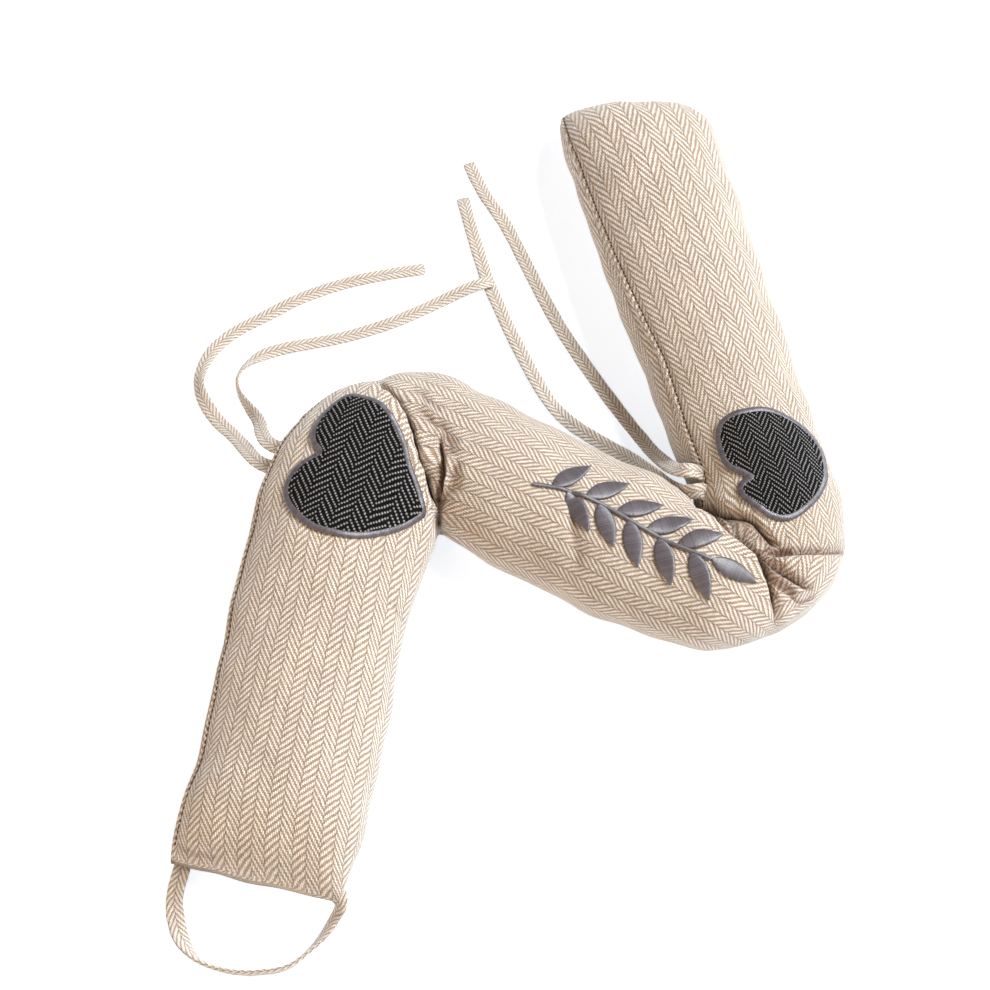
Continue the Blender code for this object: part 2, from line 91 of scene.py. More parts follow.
# The tube, rib by rib from the loop end to the plain end, in centimetres.
# A rib runs from the seam side to the fold side of the tube.
# Columns: seam_x, seam_y, fold_x, fold_y, crown, roll
# crown is the height of the top, roll how far the seam has turned up
# over the tube from its widest line (below it where negative).
RIBS = [
    (-16.60, -22.20, -7.90, -24.20, 5.4, 0.0),
    (-16.35, -21.15, -7.40, -23.00, 5.4, 0.0),
    (-16.00, -19.70, -6.90, -21.40, 5.5, 0.0),
    (-15.45, -17.40, -6.25, -18.80, 5.6, 0.0),
    (-15.05, -14.60, -5.80, -15.90, 5.6, 0.0),
    (-14.70, -11.80, -5.40, -13.00, 5.6, 0.0),
    (-14.40, -8.90, -5.05, -10.40, 5.7, 0.0),
    (-14.10, -6.00, -4.55, -8.10, 5.8, 0.0),
    (-13.65, -3.00, -4.00, -6.40, 5.9, 0.0),
    (-13.05, -0.20, -3.65, -5.35, 6.0, -0.1),
    (-12.15, 2.25, -3.42, -4.70, 6.1, -0.2),
    (-10.70, 4.15, -3.30, -4.20, 6.1, -0.4),
    (-9.00, 5.45, -3.20, -3.82, 6.0, -0.6),
    (-7.25, 6.05, -3.05, -3.58, 5.8, -0.7),
    (-5.50, 6.60, -2.80, -3.62, 5.4, -0.8),
    (-3.90, 6.65, -2.48, -3.92, 5.3, -0.8),
    (-2.30, 6.15, -2.10, -4.28, 5.4, -0.8),
    (-0.80, 5.25, -1.65, -4.65, 5.5, -0.8),
    (0.70, 4.50, -1.10, -5.05, 5.6, -0.8),
    (2.15, 3.75, -0.40, -5.50, 5.6, -0.8),
    (3.55, 2.90, 0.55, -6.00, 5.6, -0.8),
    (4.95, 2.00, 1.80, -6.65, 5.6, -0.8),
    (6.35, 1.15, 3.30, -7.55, 5.6, -0.8),
    (7.75, 0.30, 4.90, -8.35, 5.6, -0.8),
    (9.05, -0.60, 6.60, -9.05, 5.6, -0.7),
    (10.00, -1.45, 8.40, -9.90, 5.6, -0.5),
    (10.70, -2.05, 10.10, -10.50, 5.7, -0.2),
    (11.12, -2.45, 11.70, -10.75, 5.8, 0.0),
    (11.36, -2.74, 13.25, -10.50, 5.7, 0.2),
    (11.52, -2.94, 14.80, -10.05, 5.6, 0.3),
    (11.66, -3.04, 16.25, -9.45, 5.7, 0.5),
    (11.80, -3.02, 17.60, -8.55, 5.7, 0.7),
    (11.86, -2.87, 18.75, -7.30, 5.8, 0.9),
    (11.84, -2.66, 19.60, -5.80, 5.8, 1.1),
    (11.78, -2.38, 19.98, -4.10, 5.9, 1.3),
    (11.70, -2.02, 20.00, -2.40, 6.0, 1.4),
    (11.58, -1.52, 19.75, -0.80, 6.0, 1.5),
    (11.42, -0.90, 19.50, 0.70, 6.0, 1.5),
    (11.12, 0.02, 19.20, 2.40, 5.9, 1.5),
    (10.62, 1.45, 18.85, 4.30, 5.8, 1.5),
    (10.05, 3.70, 18.45, 6.60, 5.7, 1.4),
    (9.35, 6.50, 17.95, 9.50, 5.7, 1.3),
    (8.50, 9.60, 17.40, 12.60, 5.7, 1.0),
    (7.60, 12.90, 16.85, 15.90, 5.7, 0.7),
    (6.75, 16.30, 16.25, 19.20, 5.7, 0.4),
    (5.95, 19.60, 15.70, 22.10, 5.7, 0.2),
    (5.20, 22.60, 15.15, 24.70, 5.6, 0.1),
    (4.60, 25.30, 14.75, 26.90, 5.4, 0.0),
    (4.42, 27.65, 14.40, 28.30, 5.2, 0.0),
    (4.72, 29.15, 13.90, 29.55, 5.0, 0.0),
]

# Folds across the tube where it bends.
# Columns: depth at the start, depth at the end, half width, then plan points.
FOLDS = [
    (0.35, 2.20, 0.42, [(-7.35, 6.4), (-6.31, 4.4), (-5.52, 3.54), (-5.01, 2.52),
                        (-4.85, 1.76), (-4.5, 0.5), (-4.05, -0.6), (-3.65, -1.8),
                        (-3.30, -2.7), (-3.12, -3.8)]),
    (0.15, 1.20, 0.32, [(-3.1, 0.6), (-2.98, -0.3), (-2.88, -1.2), (-2.80, -2.2),
                        (-3.05, -3.4)]),
    (0.10, 0.60, 0.40, [(-1.5, -0.4), (-2.0, -1.8), (-2.4, -2.9), (-2.6, -3.8)]),
    (0.10, 0.40, 0.40, [(-3.2, 3.4), (-2.77, 2.2), (-2.15, 1.0), (-2.6, 0.4),
                        (-2.15, -0.6)]),
    (2.60, 0.90, 0.50, [(11.6, -3.0), (12.6, -3.6), (13.4, -4.1), (14.2, -4.55),
                        (15.1, -5.05), (15.8, -5.5)]),
    (1.80, 0.30, 0.36, [(12.7, -4.2), (14.2, -5.75), (15.5, -6.3), (17.2, -6.05),
                        (18.2, -6.0), (20.2, -5.6)]),
    (1.40, 0.45, 0.36, [(13.9, -6.1), (14.75, -6.5), (15.46, -7.04),
                        (16.2, -7.56), (16.9, -7.95), (18.3, -8.7)]),
    (2.10, 0.60, 0.45, [(11.8, -3.1), (12.6, -3.9), (13.3, -4.9), (14.0, -6.2),
                        (14.65, -7.45), (14.9, -8.4), (15.1, -9.1), (15.3, -10.2)]),
    (0.28, 0.28, 0.70, [(4.25, -2.2), (4.35, -3.4), (4.55, -5.9)]),
]

# The patches: their outlines on the plan, and the middle of each.
PATCHES = [
    ("heart_patch_1", [
        (-8.51, 3.85), (-7.71, 3.60), (-6.69, 3.04), (-5.96, 2.18), (-5.42, 1.20),
        (-4.98, 0.10), (-4.68, -1.10), (-4.32, -2.10), (-4.05, -2.95), (-3.92, -3.80),
        (-4.70, -4.62), (-5.86, -5.28), (-6.92, -5.66), (-7.94, -5.79), (-8.97, -5.64),
        (-10.04, -5.22), (-10.94, -4.42), (-11.55, -3.50), (-11.78, -2.65),
        (-11.60, -1.85), (-11.09, -1.15), (-10.47, -0.70), (-9.97, -0.34),
        (-10.35, 0.45), (-10.42, 1.27), (-10.10, 2.28), (-9.45, 3.20)],
     (-7.60, -1.40)),
    ("heart_patch_2", [
        (14.27, 2.37), (15.19, 2.49), (16.17, 2.34), (17.30, 1.80), (18.22, 1.05),
        (18.72, 0.10), (18.78, -1.05), (18.51, -2.18), (17.87, -3.30),
        (16.92, -4.20), (16.05, -4.62), (15.15, -4.50), (14.35, -3.90),
        (13.76, -3.20), (13.55, -2.65), (13.74, -2.30), (14.13, -2.07),
        (13.68, -1.62), (12.98, -1.01), (12.68, -0.12), (12.60, 0.95),
        (12.85, 1.75), (13.48, 2.20)],
     (16.10, -1.10)),
]

# The sewn sprig: its stem on the plan, its leaves by place along the stem
# and side (1 toward the seam, -1 toward the fold).
SPRIG_STEM = [(2.10, -2.35), (3.90, -2.70), (5.90, -3.60), (7.90, -4.95),
              (9.90, -6.20), (11.60, -7.00)]
SPRIG_ROWS = 40
SPRIG_WIDE = 0.26
LEAF_LONG = 2.75
LEAF_WIDE = 1.08
LEAF_TURN = 46.0
LEAVES = [(3, 1), (6, -1), (10, 1), (13, -1), (17, 1), (20, -1), (24, 1), (27, -1),
          (31, 1), (34, -1)]
# The embroidery threads are this far apart. The real ones may be finer, and
# these are as coarse as they need to be to show.
BORDER_THREAD_MM = 0.8
SPRIG_THREAD_MM = 0.7
STEM_HIGH = 0.8    # how far the rows stand up, in millimetres
LEAF_HIGH = 1.1
SPRIG_LIFT = 0.0006    # the rows' middle over the cloth, in metres
BORDER_LIFT = 0.0008
BORDER_INSET = 0.19    # the border's middle inside a heart's outline, in centimetres
PATCH_UNDER = 0.0004   # the patches' two sides over the cloth, in metres
PATCH_OVER = 0.0014

# The tapes: x, y, z of the middle line and the tilt of the tape, 90 where it
# lies flat and 0 where it stands on its edge.
TAPES = [
    ("tie_1_left", [
        (-13.32, 0.45, 2.68, 90), (-14.00, 0.86, 2.60, 90), (-14.60, 1.65, 2.10, 90),
        (-15.25, 2.65, 1.40, 90),
        (-16.11, 3.83, 0.75, 90), (-17.12, 4.99, 0.25, 90), (-18.05, 6.29, 0.28, 70),
        (-18.57, 7.48, 0.38, 50), (-18.59, 8.74, 0.30, 65), (-18.06, 10.38, 0.13, 90),
        (-16.85, 11.77, 0.13, 90), (-14.89, 13.11, 0.13, 90), (-12.65, 14.56, 0.13, 90),
        (-10.03, 15.69, 0.13, 90), (-7.35, 16.43, 0.13, 90), (-4.65, 16.93, 0.13, 90)]),
    ("tie_1_right", [
        (-12.88, 1.76, 2.66, 90), (-13.55, 2.25, 2.50, 90), (-14.05, 3.25, 1.90, 80),
        (-14.51, 4.56, 1.20, 60),
        (-15.33, 5.84, 0.65, 30), (-15.99, 6.98, 0.47, 8), (-16.18, 8.02, 0.47, 12),
        (-15.79, 9.06, 0.38, 45), (-14.64, 10.14, 0.14, 90), (-12.77, 10.76, 0.13, 90),
        (-10.81, 11.15, 0.13, 90), (-8.71, 11.77, 0.13, 90), (-6.55, 12.64, 0.13, 90),
        (-4.31, 13.83, 0.13, 90), (-2.56, 14.81, 0.22, 90), (-1.38, 15.30, 0.44, 90),
        (-0.20, 15.68, 0.47, 90)]),
    ("tie_2_left", [
        (11.35, -0.78, 4.40, 90), (11.00, -0.83, 4.55, 85), (10.52, -0.58, 4.20, 75),
        (10.22, 0.10, 3.30, 70), (9.92, 1.20, 2.10, 75), (9.48, 2.50, 1.00, 85),
        (8.95, 3.80, 0.35, 90), (8.32, 4.92, 0.13, 90),
        (6.98, 7.12, 0.13, 90), (5.61, 9.53, 0.13, 90), (4.27, 12.09, 0.13, 90),
        (3.15, 14.64, 0.13, 90), (2.00, 17.51, 0.13, 90), (0.68, 20.74, 0.13, 90),
        (-0.69, 23.27, 0.13, 90), (-1.81, 26.06, 0.13, 90)]),
    ("tie_2_right", [
        (11.70, -1.98, 4.22, 60), (11.22, -2.00, 4.18, 35), (10.75, -1.78, 3.75, 25),
        (10.16, -1.08, 3.08, 25), (9.54, -0.13, 2.48, 25), (8.96, 0.88, 1.72, 25),
        (8.35, 1.85, 0.95, 35), (7.55, 2.70, 0.46, 45),
        (6.33, 3.57, 0.36, 50), (4.83, 4.75, 0.30, 60), (3.63, 6.24, 0.13, 90),
        (2.59, 8.17, 0.13, 90), (1.73, 10.14, 0.13, 90), (0.91, 12.09, 0.13, 90),
        (0.20, 14.07, 0.13, 90), (-0.46, 15.86, 0.13, 90), (-1.07, 18.18, 0.13, 90),
        (-1.62, 20.39, 0.13, 90), (-2.19, 22.92, 0.13, 90)]),
    ("hanging_loop", [
        (-16.11, -22.55, 1.25, 90), (-16.37, -23.16, 0.80, 90), (-16.52, -23.83, 0.35, 90),
        (-16.37, -24.75, 0.20, 80), (-15.91, -25.80, 0.35, 50), (-15.13, -26.67, 0.46, 15),
        (-14.07, -27.17, 0.47, 5), (-12.74, -27.41, 0.47, 0), (-11.39, -27.36, 0.47, 0),
        (-10.31, -27.08, 0.47, 5), (-9.40, -26.38, 0.46, 15), (-8.65, -25.52, 0.42, 35),
        (-8.17, -24.77, 0.60, 45), (-7.88, -24.25, 1.15, 60)]),
]


# The line of the cloth on the plan. A zone of the tube has one direction of
# weave, and the next zone starts at a deep fold.
# Columns: x, y, heading in degrees, column in mm, its growth a cm, lines a mm,
# change of that a cm, and the lines' slant across the cloth
GRAINS = [
    (-9.60, -13.00, 83.0, 7.0, 0.000, 0.260, -0.0050, 0.065),
    (2.50, -1.00, -31.0, 6.8, 0.000, 0.256, 0.0000, -0.030),
    (14.60, -8.60, 38.0, 6.8, 0.000, 0.245, 0.0000, 0.000),
    (16.60, -7.00, 66.0, 6.8, 0.000, 0.240, 0.0000, 0.000),
    (12.50, 13.50, 103.9, 7.15, 0.0108, 0.1715, -0.0034, 0.000),
]
# The weave of each heart: the same columns, without growth and change
HEART_GRAINS = [
    (-9.00, -2.00, 72.0, 9.3, 0.000, 0.230, 0.0000, 0.015),
    (16.00, 0.00, 103.9, 6.45, 0.000, 0.252, 0.0000, 0.014),
]
# Where the zones meet: the rib, how many ribs around it the fold decides, the fold.
ZONE_EDGES = [(13.3, 3.0, 0), (29.3, 2.5, 7), (31.4, 2.0, 6), (33.0, 2.0, 5)]

# The seam's cross section: share of the way around, and how far it stands out.
SEAM_PROFILE = [(0.0, 0.08), (0.0045, 0.05), (0.0085, -0.09), (0.0125, -0.05), (0.019, -0.01)]

# The mesh has no even lines this near the seam, as a share of the way around.
SEAM_CLEAR = 0.024
# The line of stitches: its share of the way around, and how far it stands out.
STITCH_AROUND = 0.0088
STITCH_PROUD = -0.06
STITCH_RAISED = 0.45   # how much of its radius a stitch's middle is over the cloth

# How much of each fold's depth the full cloth keeps, in the order of FOLDS.
FOLD_SHARES = [0.66, 0.16, 0.20, 0.25, 0.40, 0.36, 0.36, 0.48, 0.80]

# How far the seam turns up over the tube beyond the ribs' own roll, and how
# much wider the tube is on the seam's side. Columns: rib, turn, growth
SEAM_TURN = [
    (0.0, 1.10, 0.15), (2.0, 1.30, 0.16), (5.0, 1.30, 0.28), (8.0, 1.30, 0.22),
    (10.0, 1.40, 0.10), (11.0, 1.20, 0.05), (12.5, 0.60, 0.0), (14.0, 0.0, 0.25),
    (15.0, 0.0, 0.30), (17.0, 0.0, 0.0), (22.5, 0.0, 0.0),
    (24.0, 0.0, 0.28), (25.5, 0.0, 0.60), (27.0, 0.0, 0.65), (28.5, 0.0, 0.45),
    (30.0, -0.1, 0.20), (32.0, -0.4, 0.25), (33.5, -0.5, 0.35), (35.0, -0.2, 0.30),
    (36.5, 0.0, 0.05),
    (39.0, 0.20, 0.0), (41.0, 0.60, 0.0), (44.0, 0.85, 0.0), (47.0, 1.00, 0.0),
    (49.0, 0.80, 0.0),
]

# The slanting lines along a tape are this far apart, in metres.
TAPE_LINE = 0.0037
TAPE_COLUMNS = 4.0     # columns of the weave around a tape
TAPE_AROUND = 20       # points of the mesh around it
# The lowest point of a tape, in metres, so that it never lies in the floor.
TAPE_LOW = 0.0001
# Where each tape runs on into the seam: rows before its own rows, and after.
ROOTS = {
    "tie_1_left": ([(-12.70, 0.15, 3.05, 90)], []),
    "tie_1_right": ([(-12.25, 1.40, 3.05, 90)], []),
    "tie_2_left": ([(11.90, -0.92, 4.30, 90)], []),
    "tie_2_right": ([(12.05, -2.06, 4.02, 80)], []),
    "hanging_loop": ([(-15.95, -21.85, 1.45, 90)], [(-7.98, -23.60, 1.45, 75)]),
}

# Lumps of the filling: turns a centimetre along x and y, phase, height in
# centimetres.
LUMPS = [(0.9, 0.5, 0.3, 0.045), (-0.6, 1.1, 1.9, 0.045), (1.7, -0.8, 4.0, 0.030),
         (0.4, -1.9, 2.2, 0.028), (2.6, 1.5, 0.7, 0.016)]

# The simulation of the filling, with its pins and slack by vertex group.
CLOTH_STEPS = 20
CLOTH_FACTS = {
    "quality": 5, "mass": 0.3, "tension_stiffness": 15.0, "compression_stiffness": 15.0,
    "shear_stiffness": 5.0, "bending_stiffness": 0.4, "use_pressure": True,
    "vertex_group_mass": "held", "pin_stiffness": 1.0, "vertex_group_shrink": "slack",
    "shrink_min": 0.0, "shrink_max": -0.06,
}
# The cloth starts to be held at this depth of a fold, and is held fast this much
# deeper, in centimetres.
HELD_FOLD = (0.15, 0.5)
HELD_LOW = 0.35    # the height under which it is held, in centimetres
HELD_END = 1.2     # how many ribs from an end it is held
HELD_SEAM = 0.02   # how much of the way around, on each side of the seam
# The ribs in the middle of the two bends, where the cloth has slack, and how
# many ribs the slack reaches.
SLACK_RIBS = (15, 32)
SLACK_REACH = 5
# The lowest point of the cloth, in metres, so that it never lies in the floor.
OVER_FLOOR = 0.0003

# A crease's lips: how far from its line they stand and how wide they are, as
# multiples of the cut's width, and how much they rise as a share of their pull.
LIP_AWAY = 2.6
LIP_WIDE = 1.6
LIP_RISE = 0.25
# The gathers beside a crease: how far they fade and where they start.
GATHER_FADE = 0.9
GATHER_START = 0.35

# Sharp creases that the fine cloth adds, as lines on the plan.
# Columns: name, cut depth, half width, lip pull, gather height, its spacing,
# how dark the painted shade of the crease is, points
CREASES = [
    ("bend 1 slit", 0.90, 0.13, 0.26, 0.05, 1.10, 1.0,
     [(-6.90, 5.25), (-6.54, 4.67), (-5.83, 3.81), (-5.16, 2.52), (-4.62, 0.98),
      (-4.30, -0.31), (-3.94, -1.12), (-3.72, -2.05), (-3.45, -3.20)]),
    ("bend 1 tuck", 0.50, 0.11, 0.22, 0.06, 0.80, 1.0,
     [(-3.30, 0.95), (-3.14, 0.21), (-3.02, -0.43), (-2.96, -1.02), (-2.90, -1.67),
      (-3.14, -2.30)]),
    ("bend 1 knot", 0.50, 0.12, 0.12, 0.03, 0.60, 0.8,
     [(-3.26, -1.93), (-2.91, -2.24), (-3.09, -2.75), (-3.30, -3.30)]),
    ("bend 1 pucker", 0.14, 0.20, 0.14, 0.10, 0.80, 0.60,
     [(-4.53, 2.94), (-3.90, 2.35), (-3.51, 1.91), (-3.10, 1.75), (-2.78, 1.37),
      (-2.72, 0.95), (-2.40, 0.58), (-2.44, 0.05), (-2.04, -0.40)]),
    ("bend 1 high pucker", 0.10, 0.18, 0.10, 0.07, 0.75, 0.45,
     [(-4.90, 4.60), (-4.25, 4.10), (-3.95, 3.50), (-3.35, 3.10), (-3.05, 2.55)]),
    ("bend 1 lobe", 0.30, 0.22, 0.10, 0.04, 0.90, 0.45,
     [(-2.20, -0.60), (-2.26, -1.10), (-2.26, -1.94), (-2.79, -2.63), (-3.20, -3.40)]),
    ("bend 2 corner", 0.80, 0.16, 0.30, 0.02, 0.90, 1.0,
     [(11.60, -2.70), (12.17, -2.95), (12.50, -3.22), (12.92, -3.67), (13.70, -4.13),
      (14.21, -4.46), (14.80, -5.30), (15.61, -6.00)]),
    ("bend 2 edge", 0.75, 0.12, 0.20, 0.0, 1.00, 0.8,
     [(11.30, -3.05), (12.05, -3.90), (12.73, -4.88), (13.92, -6.10), (14.45, -7.00),
      (14.75, -7.80), (15.05, -8.73), (15.27, -9.59)]),
    ("bend 2 long tuck", 0.42, 0.11, 0.12, 0.02, 0.80, 0.8,
     [(14.00, -6.15), (14.43, -6.23), (15.60, -6.39), (16.98, -6.30), (18.09, -6.09),
      (19.20, -5.62), (19.90, -5.30)]),
    ("bend 2 low tuck", 0.46, 0.11, 0.12, 0.02, 0.80, 0.85,
     [(13.90, -6.05), (14.72, -6.66), (15.52, -7.31), (16.30, -7.77), (16.85, -7.95),
      (17.40, -7.90)]),
    ("bend 2 small tuck", 0.30, 0.10, 0.08, 0.03, 0.60, 0.7,
     [(14.70, -7.40), (15.02, -7.76), (15.47, -8.18), (16.09, -8.57), (16.41, -8.73),
      (16.99, -8.57), (17.70, -8.06)]),
    ("bend 2 hollow", 0.10, 0.50, 0.0, 0.04, 0.90, 0.28,
     [(11.90, -3.00), (12.60, -3.75), (13.40, -4.60), (14.20, -5.30), (15.30, -5.95),
      (16.30, -6.20)]),
    ("bend 2 low hollow", 0.05, 0.40, 0.0, 0.03, 0.90, 0.22,
     [(14.20, -6.40), (14.90, -7.20), (15.60, -7.90), (16.30, -8.50)]),
    ("bend 1 ridge", -0.32, 0.11, 0.0, 0.0, 0.80, 0.0,
     [(-2.45, -0.10), (-2.52, -0.80), (-2.58, -1.50), (-2.75, -2.20), (-3.05, -2.90)]),
    ("bend 1 hollow", 0.06, 0.34, 0.0, 0.03, 0.90, 0.32,
     [(-3.20, 1.30), (-2.85, 0.30), (-2.80, -0.70), (-2.95, -1.80), (-3.20, -2.80)]),
    ("section 2 band", 0.12, 0.30, 0.06, 0.0, 1.00, 0.45,
     [(4.18, -2.20), (4.26, -4.03), (4.35, -5.06), (4.58, -6.26), (4.65, -7.31)]),
    ("section 1 pucker", 0.14, 0.16, 0.06, 0.02, 0.60, 0.3,
     [(-5.65, -8.80), (-5.45, -9.20), (-5.10, -9.50), (-4.80, -9.55)]),
    ("loop end pucker", 0.16, 0.18, 0.06, 0.03, 0.70, 0.35,
     [(-16.10, -21.40), (-15.50, -21.90), (-14.70, -22.10), (-13.80, -22.35)]),
]


# The three herringbone cloths: how many lines a column climbs, how much warp
# shows, the relief in millimetres, threads a column, the haze of fine hairs,
# and how much warp shows through the weft.
WEAVES = {
    "tube": {"rise": 2.25, "cover": 0.20, "height_mm": 0.40, "threads": 8,
             "haze": 0.42, "through": 0.35},
    "heart": {"rise": 2.25, "cover": 0.97, "height_mm": 0.40, "threads": 8,
              "haze": 0.0, "through": 0.02},
    "tape": {"rise": 2.0, "cover": -0.15, "height_mm": 0.30, "threads": 8,
             "haze": 0.55, "through": 0.35},
}
# The noises of the weave: name, scale on the grain map, detail.
WEAVE_NOISES = [("wander", 0.9, 2.0), ("slow", 0.17, 3.0), ("slub", 3.1, 2.0)]

# The weave, step by step: name, operation, its inputs by name or number.
WEAVE_STEPS = [
    ("drift", "MULTIPLY_ADD", "wander", 0.35, "line"),
    # each warp thread is one step of the slanting line
    ("thread edge", "SNAP", "column", "step"),
    ("middle", "ADD", "thread edge", "half step"),
    ("turned", "PINGPONG", "middle", 1.0),
    # where the twill turns back it breaks, so the next column starts half a line on
    ("whole", "FLOOR", "column"),
    ("other", "PINGPONG", "whole", 1.0),
    ("climb", "MULTIPLY_ADD", "turned", "rise", "drift"),
    ("lines", "MULTIPLY_ADD", "other", 0.5, "climb"),
    ("angle", "MULTIPLY", "lines", 2 * math.pi),
    ("wave", "SINE", "angle"),
    # a thread is round: 0 at its two sides and 1 along its middle
    ("count", "MULTIPLY", "column", "threads"),
    ("half side", "PINGPONG", "count", 0.5),
    ("side", "MULTIPLY", "half side", 2.0),
    ("round warp", "POWER", "side", 0.6),
    ("float share", "MULTIPLY_ADD", "round warp", 0.30, "wave"),
    ("open share", "MULTIPLY_ADD", "float share", 1 / 0.6, "low"),
    ("low share", "MAXIMUM", "open share", 0.0),
    ("on top", "MINIMUM", "low share", 1.0),
    # every float and every crossing is a little different from the next
    ("pick place", "MULTIPLY", "drift", 4.0),
    ("pick", "FLOOR", "pick place"),
    ("which line", "FLOOR", "lines"),
    ("yarn", "CELL", "middle", "which line"),
    ("grit", "CELL", "middle", "pick"),
    ("pale share", "MULTIPLY", "yarn", 0.25),
    ("tan share", "MULTIPLY", "slub", "through"),
    # shade between the threads, at the end of each float and at a column's edge
    ("beside", "MULTIPLY_ADD", "side", -1.0, 0.50),
    ("past", "MULTIPLY_ADD", "open share", 1.0, -0.5),
    ("past size", "ABSOLUTE", "past"),
    ("ends", "MULTIPLY_ADD", "past size", -0.8, 0.35),
    ("turn side", "PINGPONG", "column", 0.5),
    ("turn near", "MULTIPLY_ADD", "turn side", -9.0, 1.0),
    ("turn dark", "MAXIMUM", "turn near", 0.0),
    ("edge", "MULTIPLY", "turn dark", "grit"),
    ("deeper", "MAXIMUM", "beside", "ends"),
    ("deepest", "MAXIMUM", "deeper", "edge"),
    ("shade", "MAXIMUM", "deepest", 0.0),
    ("slow tint", "MULTIPLY_ADD", "slow", 0.20, 0.66),
    ("yarn tint", "MULTIPLY_ADD", "yarn", 0.16, "slow tint"),
    ("tint", "MULTIPLY_ADD", "grit", 0.30, "yarn tint"),
    # the crease lines of painted shade, sharper than the mesh
    ("crease square", "MULTIPLY", "crease side", "crease side"),
    ("crease open", "MULTIPLY_ADD", "crease square", -1.0, 1.0),
    ("crease line", "MAXIMUM", "crease open", 0.0),
    ("crease share", "MULTIPLY_ADD", "crease line", 0.75, 0.16),
    ("crease", "MULTIPLY", "crease share", "crease dark"),
    # height: the weft lies lower than the warp
    ("half pick", "PINGPONG", "pick place", 0.5),
    ("weft height", "MULTIPLY", "half pick", 0.8),
    ("warp height", "MULTIPLY_ADD", "round warp", 0.6, 0.4),
    ("rise to warp", "SUBTRACT", "warp height", "weft height"),
    ("height", "MULTIPLY_ADD", "rise to warp", "on top", "weft height"),
]

# The weave's colours: name, share, first colour, second colour.
WEAVE_MIXES = [
    ("pale", "pale share", "warp", "weft"),
    ("tan", "tan share", "weft", "warp"),
    ("cloth", "on top", "tan", "pale"),
    ("shaded", "shade", "cloth", "gap"),
]


def linear(code):
    """An sRGB hex colour as linear red, green and blue."""
    parts = [int(code[k:k + 2], 16) / 255 for k in (1, 3, 5)]
    return tuple(p / 12.92 if p <= 0.04045 else ((p + 0.055) / 1.055) ** 2.4 for p in parts)


# painted shade: the dark red-brown that creases and hollows are coloured toward, standing in for the
# shade in them
CREASE_PAINTED_SHADE = linear("#5E2E18")


def placed(points):
    """Plan points in centimetres as metres in the part's own frame."""
    points = np.asarray(points, dtype=float).copy()
    points[..., 0] -= HOME[0]
    points[..., 1] -= HOME[1]
    return points * CM


def smooth_rows(rows, steps):
    """Catmull-Rom rows between the rows of a table."""
    rows = np.array(rows, dtype=float)
    last = len(rows) - 1
    out = []
    for i in range(last):
        a = rows[max(i - 1, 0)]
        b = rows[i]
        c = rows[i + 1]
        d = rows[min(i + 2, last)]
        for k in range(steps):
            t = k / steps
            out.append(0.5 * (2 * b + (c - a) * t
                              + (2 * a - 5 * b + 4 * c - d) * t ** 2
                              + (3 * b - a - 3 * c + d) * t ** 3))
    out.append(rows[last])
    return np.array(out)


def run_length(points):
    """Distance along a line of points, starting at 0."""
    steps = np.linalg.norm(np.diff(points, axis=0), axis=1)
    return np.concatenate([[0.0], np.cumsum(steps)])


def even_points(points, count, closed=False):
    """Points at even distances along a line of points."""
    points = np.asarray(points, dtype=float)
    if closed:
        points = np.vstack([points, points[:1]])
    gone = run_length(points)
    want = np.linspace(0.0, gone[-1], count, endpoint=not closed)
    return np.column_stack([np.interp(want, gone, points[:, k])
                            for k in range(points.shape[1])])


def closed_curve(points, count):
    """Even points along a smooth closed curve through a few points."""
    n = len(points)
    around = [points[k % n] for k in range(-2, n + 3)]
    fine = smooth_rows(around, 16)[32:32 + 16 * n]
    return even_points(fine, count, closed=True)


def nearest_on(line, points):
    """For each point: the distance to a line of points, the share of the way
    along it, the nearest spot, and on which side of the line the point is."""
    line = np.array(line, dtype=float)
    runs = np.linalg.norm(np.diff(line, axis=0), axis=1)
    best = np.full(len(points), 1e9)
    share = np.zeros(len(points))
    spot = np.zeros((len(points), 2))
    side = np.zeros(len(points))
    gone = 0.0
    for p, q, size in zip(line[:-1], line[1:], runs):
        way = q - p
        along = np.clip((points - p) @ way / size ** 2, 0.0, 1.0)
        near = p + along[:, None] * way
        away = np.linalg.norm(points - near, axis=1)
        closer = away < best
        best = np.where(closer, away, best)
        share = np.where(closer, (gone + along * size) / runs.sum(), share)
        spot[closer] = near[closer]
        turn = way[0] * (points[:, 1] - p[1]) - way[1] * (points[:, 0] - p[0])
        side = np.where(closer, np.sign(turn), side)
        gone += size
    return best, share, spot, side


def fold_depth(points):
    """How deep the folds draw the cloth in at each plan point."""
    total = np.zeros(len(points))
    for (start, end, half, line), kept in zip(FOLDS, FOLD_SHARES):
        away, share = nearest_on(line, points)[:2]
        depth = kept * (start + (end - start) * share)
        total = np.maximum(total, depth * np.exp(-away / half))
    return total


def end_fullness(stations):
    """0 at either end seam, 1 where the tube has its full height."""
    run = run_length((stations[:, 0:2] + stations[:, 2:4]) / 2)
    near = np.clip(np.minimum(run, run[-1] - run) / END_REACH, 0.0, 1.0)
    swell = np.where(run < run[-1] / 2, END_SWELL[0], END_SWELL[1])
    return (1.0 - (1.0 - near) ** 2) ** swell


def section(half, crown, full):
    """One cut across the tube: x from seam side to fold side, and z."""
    turn = np.linspace(0.0, 2 * math.pi, OUTLINE_POINTS, endpoint=False)
    waist = END_LEVEL + (WAIST * crown - END_LEVEL) * full
    x = -np.sign(np.cos(turn)) * np.abs(np.cos(turn)) ** (2 / TOP_FULL) * half
    lift = np.abs(np.sin(turn)) ** (2 / TOP_FULL)
    above = (crown - waist) * full + END_HALF * (1 - full)
    below = waist * (1 + SINK) * full + END_HALF * (1 - full)
    z = np.where(np.sin(turn) >= 0, waist + above * lift, waist - below * lift)
    return np.stack([x, np.maximum(z, 0.0)], axis=1)


